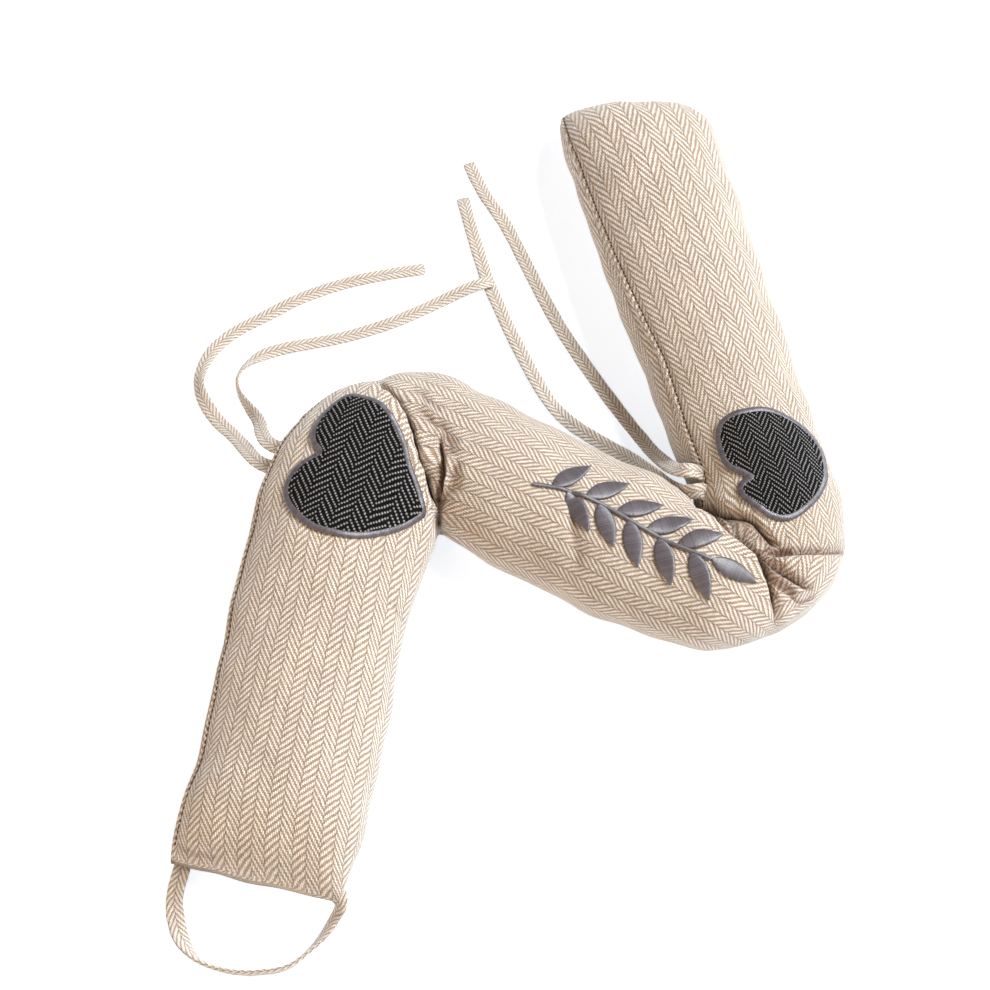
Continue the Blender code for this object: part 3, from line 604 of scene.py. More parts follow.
def turned_stations(steps):
    """The smooth ribs, with the seam turned up and its side a little wider."""
    stations = smooth_rows(RIBS, steps)
    rib = np.arange(len(stations)) / steps
    rows = np.array(SEAM_TURN)
    way = stations[:, 2:4] - stations[:, 0:2]
    way /= np.linalg.norm(way, axis=1)[:, None]
    stations[:, 0:2] -= way * np.interp(rib, rows[:, 0], rows[:, 2])[:, None]
    stations[:, 5] += np.interp(rib, rows[:, 0], rows[:, 1])
    return stations


def cut_across(station, full):
    """One cut across the tube: its middle, the way from seam side to fold side,
    its closed outline, and how far around it each outline point is."""
    seam, fold = station[0:2], station[2:4]
    width = np.linalg.norm(fold - seam)
    outline = section(width / 2, station[4], full)
    outline = np.vstack([outline, outline[:1]])
    return (seam + fold) / 2, (fold - seam) / width, outline, run_length(outline)


def tube_rings(steps, fractions, proud):
    """Rings of points around the tube, and the same points on the cloth laid
    out flat on the plan, all in centimetres."""
    stations = turned_stations(steps)
    rings = []
    flat = []
    for station, full in zip(stations, end_fullness(stations)):
        middle, out, outline, gone = cut_across(station, full)
        crown, roll = station[4:6]
        girth = gone[-1]
        far = np.array(fractions) * girth + roll * full
        want = far % girth
        here, fore, back = [
            np.column_stack([np.interp(at, gone, outline[:, k]) for k in (0, 1)])
            for at in (want, (want + SLOPE_REACH) % girth, (want - SLOPE_REACH) % girth)]
        facing = np.column_stack([back[:, 1] - fore[:, 1], fore[:, 0] - back[:, 0]])
        facing /= np.linalg.norm(facing, axis=1)[:, None]
        x = here[:, 0] + facing[:, 0] * proud * full ** SEAM_FADE
        z = here[:, 1] + facing[:, 1] * proud * full ** SEAM_FADE
        plan = middle + x[:, None] * out
        # a fold draws in the upper side of the cloth, and its walls half as much
        upper = np.clip(facing[:, 1] + 0.75, 0.0, 1.0)
        push = np.minimum(fold_depth(plan) * upper, DEEPEST_FOLD * crown)
        plan = plan - (push * facing[:, 0] * 0.5)[:, None] * out
        z = z - push * np.maximum(facing[:, 1], 0.15)
        rings.append(np.column_stack([plan, np.maximum(z, 0.0)]))
        flat.append(middle + (far - gone[OUTLINE_TOP])[:, None] * out)
    return np.array(rings), np.array(flat)


def zone_of(plan, rib):
    """The weave's zone at each plan point, from its rib and the deep folds."""
    zone = np.zeros(len(plan), dtype=int)
    for edge, reach, fold in ZONE_EDGES:
        side = nearest_on(FOLDS[fold][3], plan)[3]
        passed = np.where(np.abs(rib - edge) < reach, side > 0, rib > edge)
        zone += passed.astype(int)
    return zone


def grain_of(flat, zone, rows=GRAINS):
    """Columns and lines of the weave at points of the flat cloth."""
    table = np.array(rows)[zone]
    turn = np.radians(table[:, 2])
    from_home = flat - table[:, 0:2]
    along = from_home[:, 0] * np.cos(turn) + from_home[:, 1] * np.sin(turn)
    across = from_home[:, 0] * np.sin(turn) - from_home[:, 1] * np.cos(turn)
    columns = across * 10 / (table[:, 3] * (1 + table[:, 4] * along))
    lines = 10 * (table[:, 5] * along + table[:, 6] * along ** 2 / 2 + table[:, 7] * across)
    return np.column_stack([columns, lines])


def new_piece(name, points, faces, grain):
    """A mesh object from points in metres, with its weave's map by corner."""
    mesh = bpy.data.meshes.new(name)
    mesh.from_pydata(np.asarray(points).tolist(), [], [list(map(int, f)) for f in faces])
    mesh.update()
    layer = mesh.uv_layers.new(name="grain")
    layer.data.foreach_set("uv", np.asarray(grain, dtype=np.float32).ravel())
    mesh.polygons.foreach_set("use_smooth", [True] * len(mesh.polygons))
    piece = bpy.data.objects.new(name, mesh)
    bpy.context.scene.collection.objects.link(piece)
    return piece


def coords(mesh):
    """A mesh's points as an array."""
    out = np.zeros(len(mesh.vertices) * 3)
    mesh.vertices.foreach_get("co", out)
    return out.reshape(-1, 3)


def normals(mesh):
    """A mesh's point normals as an array."""
    out = np.zeros(len(mesh.vertices) * 3)
    mesh.vertex_normals.foreach_get("vector", out)
    return out.reshape(-1, 3)


def set_coords(mesh, points):
    """Write an array of points back into a mesh."""
    mesh.vertices.foreach_set("co", np.asarray(points, dtype=np.float32).ravel())
    mesh.update()


def grid_faces(rows, columns, wrap):
    """Quads between rows of points, closed around where wrap is set."""
    faces = []
    width = columns if wrap else columns - 1
    for i in range(rows - 1):
        for j in range(width):
            k = (j + 1) % columns
            faces.append((i * columns + j, i * columns + k,
                          (i + 1) * columns + k, (i + 1) * columns + j))
    return faces


def active(piece):
    """Make one piece the only selected and active one."""
    bpy.ops.object.select_all(action="DESELECT")
    piece.select_set(True)
    bpy.context.view_layer.objects.active = piece


def add_node(tree, kind, settings=None, inputs=None):
    """Add a node, set its properties, and give its inputs values or links."""
    made = tree.nodes.new(kind)
    for key, value in (settings or {}).items():
        setattr(made, key, value)
    for key, value in (inputs or {}).items():
        if isinstance(value, bpy.types.NodeSocket):
            tree.links.new(value, made.inputs[key])
        else:
            made.inputs[key].default_value = value
    return made


def new_material(name):
    """A material, its node tree and its shader."""
    material = bpy.data.materials.new(name)
    material.use_nodes = True
    tree = material.node_tree
    return material, tree, tree.nodes["Principled BSDF"]


def herringbone(name, warp, weft, gap, rise, cover, height_mm, threads, haze, through):
    """Herringbone twill with a wool-like hand, taken to be polyester: pale warp
    floats in slanting lines over a darker weft, turning back at each column.
    Rough, with a haze of fine hairs. A column of about 7 mm has eight threads.
    The real ones may be finer, and these are as coarse as they need to be to show."""
    material, tree, shader = new_material(name)
    grain = add_node(tree, "ShaderNodeUVMap", {"uv_map": "grain"}).outputs[0]
    place = add_node(tree, "ShaderNodeTexCoord").outputs["Object"]
    apart = add_node(tree, "ShaderNodeSeparateXYZ", None, {0: grain})
    made = {"column": apart.outputs[0], "line": apart.outputs[1], "rise": rise,
            "step": 1 / threads, "half step": 0.5 / threads, "threads": float(threads),
            "low": (0.3 - cover) / 0.6, "through": through}
    for key, scale, detail in WEAVE_NOISES:
        made[key] = add_node(tree, "ShaderNodeTexNoise", {"noise_dimensions": "2D"},
                             {"Vector": grain, "Scale": scale, "Detail": detail}).outputs[0]
    for key in ("crease side", "crease dark"):
        made[key] = add_node(tree, "ShaderNodeAttribute",
                             {"attribute_name": key.replace(" ", "_")}).outputs["Fac"]
    for key, operation, *values in WEAVE_STEPS:
        if operation == "CELL":
            cell = add_node(tree, "ShaderNodeCombineXYZ", None, {0: made[values[0]], 1: made[values[1]]})
            made[key] = add_node(tree, "ShaderNodeTexWhiteNoise", {"noise_dimensions": "2D"},
                                 {"Vector": cell.outputs[0]}).outputs[0]
        else:
            inputs = {k: made.get(value, value) for k, value in enumerate(values)}
            made[key] = add_node(tree, "ShaderNodeMath", {"operation": operation}, inputs).outputs[0]
    colours = {"warp": (*warp, 1.0), "weft": (*weft, 1.0), "gap": (*gap, 1.0),
               "brown": (*CREASE_PAINTED_SHADE, 1.0)}
    for key, share, first, second in WEAVE_MIXES:
        colours[key] = add_node(tree, "ShaderNodeMix", {"data_type": "RGBA"},
                                {0: made[share], 6: colours[first], 7: colours[second]}).outputs[2]
    tinted = add_node(tree, "ShaderNodeVectorMath", {"operation": "SCALE"},
                      {0: colours["shaded"], "Scale": made["tint"]}).outputs[0]
    # painted shade: near creases and hollows the cloth's colour is mixed toward the dark brown by the
    # crease attributes, in place of the shade there
    colour = add_node(tree, "ShaderNodeMix", {"data_type": "RGBA"},
                      {0: made["crease"], 6: tinted, 7: colours["brown"]}).outputs[2]
    hairs = add_node(tree, "ShaderNodeTexNoise", None,
                     {"Vector": place, "Scale": 2600.0, "Detail": 1.0}).outputs[0]
    height = add_node(tree, "ShaderNodeMath", {"operation": "MULTIPLY_ADD"},
                      {0: hairs, 1: 0.35, 2: made["height"]}).outputs[0]
    bump = add_node(tree, "ShaderNodeBump", None,
                    {"Strength": 0.9, "Distance": height_mm / 1000, "Height": height})
    tree.links.new(colour, shader.inputs["Base Color"])
    tree.links.new(bump.outputs[0], shader.inputs["Normal"])
    shader.inputs["Roughness"].default_value = 0.9
    shader.inputs["Sheen Weight"].default_value = haze
    shader.inputs["Sheen Roughness"].default_value = 0.45
    shader.inputs["Specular IOR Level"].default_value = 0.05 + 0.3 * haze
    return material


def satin_thread(name, dark, light, pitch_mm):
    """Embroidery thread laid side by side, taken to be rayon: it is silky, and the
    whole turns from dark to silver with the light. Its colour has a painted highlight
    along each thread's middle and painted shade at each thread's sides."""
    material, tree, shader = new_material(name)
    maths = "ShaderNodeMath"
    grain = add_node(tree, "ShaderNodeUVMap", {"uv_map": "grain"})
    apart = add_node(tree, "ShaderNodeSeparateXYZ", None, {0: grain.outputs[0]})
    # the map is in millimetres: x counts along the row of stitches
    wobble = add_node(tree, "ShaderNodeTexNoise", {"noise_dimensions": "2D"},
                      {"Vector": grain.outputs[0], "Scale": 0.6, "Detail": 2.0}).outputs[0]
    count = add_node(tree, maths, {"operation": "MULTIPLY_ADD"},
                     {0: wobble, 1: 0.5 * pitch_mm, 2: apart.outputs[0]}).outputs[0]
    count = add_node(tree, maths, {"operation": "DIVIDE"}, {0: count, 1: pitch_mm}).outputs[0]
    ridge = add_node(tree, maths, {"operation": "PINGPONG"}, {0: count, 1: 0.5}).outputs[0]
    ridge = add_node(tree, maths, {"operation": "POWER"},
                     {0: add_node(tree, maths, {"operation": "MULTIPLY"},
                                  {0: ridge, 1: 2.0}).outputs[0], 1: 0.6}).outputs[0]
    which = add_node(tree, maths, {"operation": "FLOOR"}, {0: count}).outputs[0]
    yarn = add_node(tree, "ShaderNodeTexWhiteNoise", {"noise_dimensions": "1D"},
                    {"W": which}).outputs[0]
    # painted highlight and shade: each thread is lighter along its middle and darker at its sides, and
    # differs at random from the next
    tone_and_painted_highlight = add_node(tree, maths, {"operation": "MULTIPLY_ADD"},
                     {0: yarn, 1: 0.4, 2: add_node(tree, maths, {"operation": "MULTIPLY"},
                                                   {0: ridge, 1: 0.6}).outputs[0]}).outputs[0]
    colour = add_node(tree, "ShaderNodeMix", {"data_type": "RGBA"},
                      {0: tone_and_painted_highlight, 6: (*dark, 1.0), 7: (*light, 1.0)}).outputs[2]
    bump = add_node(tree, "ShaderNodeBump", None,
                    {"Strength": 0.6, "Distance": pitch_mm / 4000, "Height": ridge})
    tree.links.new(colour, shader.inputs["Base Color"])
    tree.links.new(bump.outputs[0], shader.inputs["Normal"])
    shader.inputs["Roughness"].default_value = 0.36
    shader.inputs["Specular IOR Level"].default_value = 1.0
    shader.inputs["Sheen Weight"].default_value = 0.0
    return material


def sewing_thread(name, colour_code):
    """Twisted sewing thread, taken to be polyester: matt, with painted shade
    between its turns."""
    material, tree, shader = new_material(name)
    place = add_node(tree, "ShaderNodeTexCoord").outputs["Object"]
    twist = add_node(tree, "ShaderNodeTexWave", {"wave_type": "BANDS", "bands_direction": "DIAGONAL"},
                     {"Vector": place, "Scale": 900.0, "Distortion": 1.0}).outputs["Fac"]
    # painted shade: darker bands between the thread's turns
    colour = add_node(tree, "ShaderNodeMix", {"data_type": "RGBA"},
                      {0: twist, 6: (*[c * 0.6 for c in colour_code], 1.0),
                       7: (*colour_code, 1.0)}).outputs[2]
    tree.links.new(colour, shader.inputs["Base Color"])
    shader.inputs["Roughness"].default_value = 0.7
    return material


def press_filling(piece, held, slack, pressure, reach):
    """Cloth simulation with pressure, gravity off: the filling presses the cloth
    out between its seams and folds. No point may move further than reach."""
    start = coords(piece.data)
    for name, weights in (("held", held), ("slack", slack)):
        group = piece.vertex_groups.new(name=name)
        for k, weight in enumerate(weights):
            group.add([k], float(weight), "REPLACE")
    cloth = piece.modifiers.new("Filling", "CLOTH")
    facts = dict(CLOTH_FACTS, uniform_pressure_force=pressure)
    for key, value in facts.items():
        setattr(cloth.settings, key, value)
    cloth.settings.effector_weights.gravity = 0.0
    cloth.collision_settings.use_collision = False
    scene = bpy.context.scene
    for step in range(1, CLOTH_STEPS + 1):
        scene.frame_set(step)
    shaped = piece.evaluated_get(bpy.context.evaluated_depsgraph_get())
    moved = coords(shaped.data) - start
    piece.modifiers.remove(cloth)
    piece.vertex_groups.clear()
    scene.frame_set(1)
    size = np.linalg.norm(moved, axis=1)
    keep = np.minimum(1.0, reach / np.maximum(size, 1e-9))
    points = start + moved * keep[:, None]
    points[:, 2] = np.maximum(points[:, 2], OVER_FLOOR)
    set_coords(piece.data, points)


def sculpt_creases(piece):
    """Cut the creases sharp, pull their lips together, gather the cloth beside
    them and give the filling its lumps, by moving points of the finished mesh.
    Two attributes say where each crease is and how much painted shade it gets."""
    mesh = piece.data
    points = coords(mesh)
    facing = normals(mesh)
    plan = points[:, 0:2] / CM + np.array(HOME)
    move = np.zeros_like(points)
    dark = np.zeros(len(points))
    across = np.full(len(points), 9.0)
    upper = np.clip(facing[:, 2] + 0.55, 0.0, 1.0)
    for index, (name, cut, half, pull, gather, spacing, shade, line) in enumerate(CREASES):
        fine = smooth_rows(line, 6)
        away, share, spot, side = nearest_on(fine, plan)
        fade = np.clip(np.minimum(share, 1 - share) * 6, 0.0, 1.0) ** 0.7
        wide = half + 0.06
        sharp = cut * fade * np.exp(-(away / wide) ** 2) * upper
        lip = pull * fade * np.exp(-((away - LIP_AWAY * wide) / (LIP_WIDE * wide)) ** 2) * upper
        to_line = (spot - plan) / np.maximum(away, 0.02)[:, None]
        length = run_length(fine)[-1]
        ripple = np.sin(share * length / spacing * 2 * math.pi + 1.3 * index
                        + 0.8 * np.sin(share * length * 0.9 + side))
        crimp = (gather * fade * ripple * np.exp(-away / GATHER_FADE)
                 * np.clip(away / GATHER_START, 0, 1) * upper)
        move[:, 2] -= sharp * CM
        move[:, 0:2] += lip[:, None] * to_line * CM
        move += facing * (crimp + LIP_RISE * lip)[:, None] * CM
        # painted shade: how much the cloth near a crease or hollow is darkened toward brown, in place of
        # the shade there
        near = shade * fade * np.clip(1.6 - away / (half + 0.25), 0.0, 1.0) * (facing[:, 2] > -0.3)
        nearer = (near > 0.02) & (away / half < np.abs(across))
        across = np.where(nearer, side * away / half, across)
        dark = np.maximum(dark, near)
    lumps = np.zeros(len(points))
    for along, sideways, phase, high in LUMPS:
        lumps += high * np.sin(plan[:, 0] * along + plan[:, 1] * sideways + phase)
    move += facing * (lumps * np.clip(points[:, 2] / 0.01, 0.0, 1.0))[:, None] * CM
    points = points + move
    points[:, 2] = np.maximum(points[:, 2], OVER_FLOOR)
    set_coords(mesh, points)
    for key, values in (("crease_side", across), ("crease_dark", dark)):
        layer = mesh.attributes.new(key, "FLOAT", "POINT")
        layer.data.foreach_set("value", values.astype(np.float32))


def cloth_finder(piece):
    """Give the points and normals of the cloth under plan points."""
    mesh = piece.data
    mesh.calc_loop_triangles()
    verts = [Vector(p) for p in coords(mesh)]
    facing = normals(mesh)
    tris = [tuple(t.vertices) for t in mesh.loop_triangles]
    tree = BVHTree.FromPolygons(verts, tris)

    def find(plan):
        spots = []
        ways = []
        for x, y in np.asarray(placed(np.column_stack([plan, np.zeros(len(plan))])))[:, 0:2]:
            hit = tree.ray_cast(Vector((x, y, 0.5)), Vector((0, 0, -1)))
            if hit[0] is None:
                raise ValueError("no cloth under %.4f, %.4f" % (x, y))
            corners = tris[hit[2]]
            gaps = [max((verts[i] - hit[0]).length, 1e-6) for i in corners]
            way = sum(facing[i] / g for i, g in zip(corners, gaps))
            spots.append(hit[0])
            ways.append(way / np.linalg.norm(way))
        return np.array(spots), np.array(ways)

    return find


def raised_row(line, ups, half_mm, high_mm, closed, pinch=None):
    """A raised row of satin stitch along a line on the cloth, its cross section
    half an ellipse. Its map counts millimetres along the row."""
    count = len(line)
    along = np.roll(line, -1, axis=0) - np.roll(line, 1, axis=0)
    if not closed:
        along[0] = line[1] - line[0]
        along[-1] = line[-1] - line[-2]
    along /= np.linalg.norm(along, axis=1)[:, None]
    across = np.cross(along, ups)
    across /= np.linalg.norm(across, axis=1)[:, None]
    turns = np.linspace(math.pi, 0.0, 9)
    rim = np.column_stack([np.cos(turns), np.sin(turns) ** 0.8])
    rim = np.vstack([rim, [(0.5, -0.35), (-0.5, -0.35)]])
    rows = []
    for i in range(count):
        wide = half_mm * 0.001 * (1.0 + 0.05 * math.sin(i * 2.1) * math.cos(i * 0.7))
        tall = high_mm * 0.001 * (1.0 if i % 2 else 0.90)
        if pinch is not None:
            wide *= pinch[i]
            tall *= 0.4 + 0.6 * pinch[i]
        rows.append(line[i] + rim[:, 0:1] * wide * across[i] + rim[:, 1:2] * tall * ups[i])
    points = np.array(rows).reshape(-1, 3)
    width = len(rim)
    gone = run_length(np.vstack([line, line[:1]])) * 1000
    faces = []
    grain = []
    side = np.concatenate([run_length(rim) * half_mm, [0.0]])
    side[-1] = side[-2] + half_mm
    for i in range(count if closed else count - 1):
        n = (i + 1) % count
        for j in range(width):
            k = (j + 1) % width
            faces.append((i * width + j, n * width + j, n * width + k, i * width + k))
            grain += [(gone[i], side[j]), (gone[i + 1], side[j]),
                      (gone[i + 1], side[j + 1]), (gone[i], side[j + 1])]
    if not closed:
        for i, order in ((0, 1), (count - 1, -1)):
            cap = [i * width + j for j in range(width)][::order]
            faces.append(cap)
            grain += [(gone[i], 0.0)] * width
    return points, faces, grain


def add_mesh_parts(name, parts):
    """One piece from several lists of points, faces and maps."""
    points = []
    faces = []
    grain = []
    for part_points, part_faces, part_grain in parts:
        start = sum(len(p) for p in points)
        points.append(np.asarray(part_points))
        faces += [[v + start for v in face] for face in part_faces]
        grain += list(part_grain)
    return new_piece(name, np.vstack(points), faces, grain)


def face_out(piece):
    """Turn every face outward."""
    active(piece)
    bpy.ops.object.mode_set(mode="EDIT")
    bpy.ops.mesh.select_all(action="SELECT")
    bpy.ops.mesh.normals_make_consistent(inside=False)
    bpy.ops.object.mode_set(mode="OBJECT")


def finish_piece(piece, material):
    """Give a piece its material and slot, and let it ride on the part."""
    piece.data.materials.clear()
    piece.data.materials.append(material)
    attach(piece, "root")


def length_setting(name, metres, description):
    """A length that a user may change."""
    return FloatProperty(name=name, default=metres, subtype="DISTANCE", unit="LENGTH",
                         description=description)


def colour_setting(name, code, description):
    """A colour that a user may change, kept as linear values."""
    return FloatVectorProperty(name=name, default=linear(code), subtype="COLOR", size=3,
                               description=description)


class TubeSizes(bpy.types.PropertyGroup):
    """Sizes of the filled tube's cloth."""
    around: IntProperty(name="Lines around", default=88, min=24,
                        description="Even lines of mesh around the tube")
    steps: IntProperty(name="Rings a rib", default=5, min=1,
                       description="Rings of mesh from one rib to the next")
    reach: length_setting("Filling reach", 0.004, "How far the filling may press the cloth out")
    pressure: FloatProperty(name="Pressure", default=4.0,
                            description="Pressure of the filling in the simulation")
    fill: FloatProperty(name="Fill", default=0.7, min=0.0, max=1.0,
                        description="How tight the tube is filled")


class StitchSizes(bpy.types.PropertyGroup):
    """Sizes of the seam's stitches and the satin rows."""
    spacing: length_setting("Stitch spacing", 0.0032, "Distance from one seam stitch to the next")
    length: length_setting("Stitch length", 0.0023, "Length of thread that shows in one stitch")
    radius: length_setting("Thread radius", 0.00038, "Half the thickness of the sewing thread")
    border: FloatProperty(name="Border width", default=3.9, unit="NONE",
                          description="Width of the hearts' stitched border, in millimetres")
    proud: FloatProperty(name="Border height", default=0.9, unit="NONE",
                         description="How far the border stands up, in millimetres")


class TapeSizes(bpy.types.PropertyGroup):
    """Sizes of the ties and the hanging loop."""
    width: length_setting("Tape width", 0.009, "Width of the folded tape")
    thick: length_setting("Tape thickness", 0.0024, "Thickness of the folded tape")
    step: length_setting("Row spacing", 0.0016, "Distance between the rows of a tape's mesh")


class Colours(bpy.types.PropertyGroup):
    """Colours of the cloths and threads."""
    warp: colour_setting("Pale warp", "#F4F0E9", "Warp yarn of the herringbone cloth")
    weft: colour_setting("Tan weft", "#99764C", "Weft yarn of the herringbone cloth")
    gap: colour_setting("Weave gap", "#5C4028", "Shade between the yarns of that cloth")
    black: colour_setting("Black yarn", "#0A0A0B", "Main yarn of the heart patches")
    fleck: colour_setting("Grey fleck", "#ACAAA9", "Pale yarn of the heart patches")
    # the embroidery thread is coloured from these two: painted shade at each thread's sides, painted
    # highlight along its middle, and random tone between threads
    satin_dark: colour_setting("Thread shade", "#171217", "Embroidery thread, its dark side")
    satin_light: colour_setting("Thread shine", "#6C656D", "Embroidery thread, its bright side")
    seam: colour_setting("Seam thread", "#4A2E1E", "Sewing thread in the long seam")


def tube_lines(around):
    """Shares of the way around the tube: the seam's own lines and even ones."""
    profile = SEAM_PROFILE
    near = [share for share, proud in profile]
    rise = [proud for share, proud in profile]
    even = [k / around for k in range(1, around)
            if SEAM_CLEAR < k / around < 1 - SEAM_CLEAR]
    fractions = near + even + [1.0 - share for share in near[:0:-1]]
    proud = rise + [0.0] * len(even) + rise[:0:-1]
    return np.array(fractions), np.array(proud)


def build_tube(sizes, material):
    """The filled tube: rings of cloth from rib to rib, pressed out by its
    filling, one subdivision finer, its folds cut sharp."""
    fractions, proud = tube_lines(sizes.around)
    rings, flat = tube_rings(sizes.steps, fractions, proud)
    rows, count = rings.shape[:2]
    ribs = np.repeat(np.arange(rows) / sizes.steps, count)
    plan = rings.reshape(-1, 3)[:, 0:2]
    faces = grid_faces(rows, count, True)
    first = [divmod(face[0], count) for face in faces]
    middles = np.array([rings[i:i + 2, j].mean(axis=0)[0:2] for i, j in first])
    zone = zone_of(middles, np.array([(i + 0.5) / sizes.steps for i, j in first]))
    # the wrap closes at the seam, where the flat cloth has one more edge
    across = rings_girth(sizes.steps)
    wide = np.concatenate([flat, flat[:, :1] + across], axis=1)
    grain = []
    for (i, j), where in zip(first, zone):
        spots = np.array([wide[i, j], wide[i, j + 1], wide[i + 1, j + 1], wide[i + 1, j]])
        grain.append(grain_of(spots, np.full(4, where)))
    grain = np.array(grain).reshape(-1, 2)
    # the flat end seams close each end with strips from side to side
    ends = []
    last_zone = len(GRAINS) - 1
    for start, edge, z in ((0, 0, 0), ((rows - 1) * count, rows - 1, last_zone)):
        for j in range((count - 1) // 2):
            a, b = start + j, start + j + 1
            c = start + (count - 1 - j) % count
            d = start + (count - j) % count
            quad = list(dict.fromkeys((a, b, c, d)))
            if len(quad) < 3:
                continue
            ends.append(quad)
            spots = np.array([wide[edge, v - start] for v in quad])
            grain = np.vstack([grain, grain_of(spots, np.full(len(quad), z))])
    piece = new_piece("tube_cloth", placed(rings.reshape(-1, 3)), faces + ends, grain)
    face_out(piece)
    low = rings.reshape(-1, 3)[:, 2]
    creased = fold_depth(plan)
    at_end = np.minimum(ribs, ribs[-1] - ribs)
    share = np.tile(fractions, rows)
    at_seam = np.minimum(share, 1 - share) < HELD_SEAM
    held = np.clip((creased - HELD_FOLD[0]) / HELD_FOLD[1], 0.0, 1.0)
    held = np.maximum(held, np.clip(1 - low / HELD_LOW, 0.0, 1.0))
    held = np.maximum(held, np.clip(HELD_END - at_end, 0.0, 1.0))
    held = np.where(at_seam, 1.0, held)
    slack = sum(np.exp(-((ribs - bend) / SLACK_REACH) ** 2) for bend in SLACK_RIBS)
    press_filling(piece, held, np.clip(slack, 0, 1), sizes.pressure, sizes.reach)
    active(piece)
    finer = piece.modifiers.new("Finer", "SUBSURF")
    finer.levels = 1
    finer.render_levels = 1
    bpy.ops.object.modifier_apply(modifier="Finer")
    sculpt_creases(piece)
    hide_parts("body")
    finish_piece(piece, material)


def rings_girth(steps):
    """The step from the seam once around the tube, on the flat cloth."""
    stations = turned_stations(steps)
    out = []
    for station, full in zip(stations, end_fullness(stations)):
        middle, way, outline, gone = cut_across(station, full)
        out.append(way * gone[-1])
    return np.array(out)[:, None, :]


def build_stitches(sizes, tube_sizes, material):
    """The stitches of the long seam: one is modelled and copied along it."""
    rings, flat = tube_rings(tube_sizes.steps, np.array([STITCH_AROUND]), np.array([STITCH_PROUD]))
    line = placed(even_points(rings[3:-3, 0], 1200))
    cloth = BVHTree.FromObject(bpy.data.objects["tube_cloth"],
                               bpy.context.evaluated_depsgraph_get())
    gone = run_length(line)
    bpy.ops.object.select_all(action="DESELECT")
    bpy.ops.mesh.primitive_uv_sphere_add(segments=8, ring_count=6, radius=1.0)
    model = bpy.context.active_object
    shape = coords(model.data)
    shape_faces = [tuple(p.vertices) for p in model.data.polygons]
    shape_mesh = model.data
    bpy.data.objects.remove(model)
    bpy.data.meshes.remove(shape_mesh)
    parts = []
    at = sizes.spacing
    index = 0
    while at < gone[-1] - sizes.spacing:
        spot = np.array([np.interp(at, gone, line[:, k]) for k in range(3)])
        ahead = np.array([np.interp(at + 0.001, gone, line[:, k]) for k in range(3)])
        way = (ahead - spot) / np.linalg.norm(ahead - spot)
        # the filling has pressed the cloth out, so the stitch lies on the cloth as it is
        on_cloth, up = [np.array(found) for found in cloth.find_nearest(Vector(spot))[:2]]
        spot = on_cloth + up * sizes.radius * STITCH_RAISED
        side = np.cross(way, up)
        side /= np.linalg.norm(side)
        up = np.cross(side, way)
        size = 1.0 + 0.15 * math.sin(index * 2.7)
        local = (shape[:, 2:3] * way * sizes.length / 2 * size
                 + shape[:, 0:1] * side * sizes.radius * 1.2
                 + shape[:, 1:2] * up * sizes.radius)
        parts.append((spot + local, shape_faces,
                      [(0.0, 0.0)] * sum(len(f) for f in shape_faces)))
        at += sizes.spacing * (1.0 + 0.08 * math.sin(index * 1.9))
        index += 1
    piece = add_mesh_parts("seam_stitches", parts)
    finish_piece(piece, material)


def build_heart(number, cloth, satin, sizes, find):
    """One heart patch: its cloth, and a satin-stitched border around it."""
    name, outline, middle = PATCHES[number]
    middle = np.array(middle)
    edge = closed_curve(outline, 168)
    shares = (0.985, 0.96, 0.92, 0.86, 0.78, 0.68, 0.56, 0.43, 0.29, 0.15)
    plan = np.vstack([middle + (edge - middle) * s for s in shares] + [middle[None]])
    spots, ways = find(plan)
    under = spots + ways * PATCH_UNDER
    over = spots + ways * PATCH_OVER
    count = len(edge)
    top = grid_faces(len(shares), count, True)
    last = (len(shares) - 1) * count
    hub = len(plan) - 1
    top += [(last + j, last + (j + 1) % count, hub) for j in range(count)]
    size = len(plan)
    faces = [tuple(v + size for v in f) for f in top] + [f[::-1] for f in top]
    faces += [(j, (j + 1) % count, (j + 1) % count + size, j + size) for j in range(count)]
    one = grain_of(plan, np.full(len(plan), number), HEART_GRAINS)
    both = np.vstack([one, one])
    grain = [both[v] for f in faces for v in f]
    sheet = new_piece(name + "_cloth", np.vstack([under, over]), faces, grain)
    face_out(sheet)
    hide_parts(name)
    finish_piece(sheet, cloth)
    row = closed_curve(outline, 640)
    inset = row + (middle - row) / np.linalg.norm(middle - row, axis=1)[:, None] * BORDER_INSET
    spots, ways = find(inset)
    points, faces, grain = raised_row(spots + ways * BORDER_LIFT, ways, sizes.border / 2,
                                      sizes.proud, True)
    border = add_mesh_parts(name + "_border", [(points, faces, grain)])
    face_out(border)
    finish_piece(border, satin)


def leaf_line(root, way, long, count):
    """Points down the middle of a leaf, and its width along them."""
    share = np.linspace(0.0, 1.0, count)
    line = root + way * (share * long)[:, None]
    width = np.sin(math.pi * np.clip(share, 0.001, 0.999) ** 0.85) ** 0.8
    return line, np.maximum(width, 0.10)


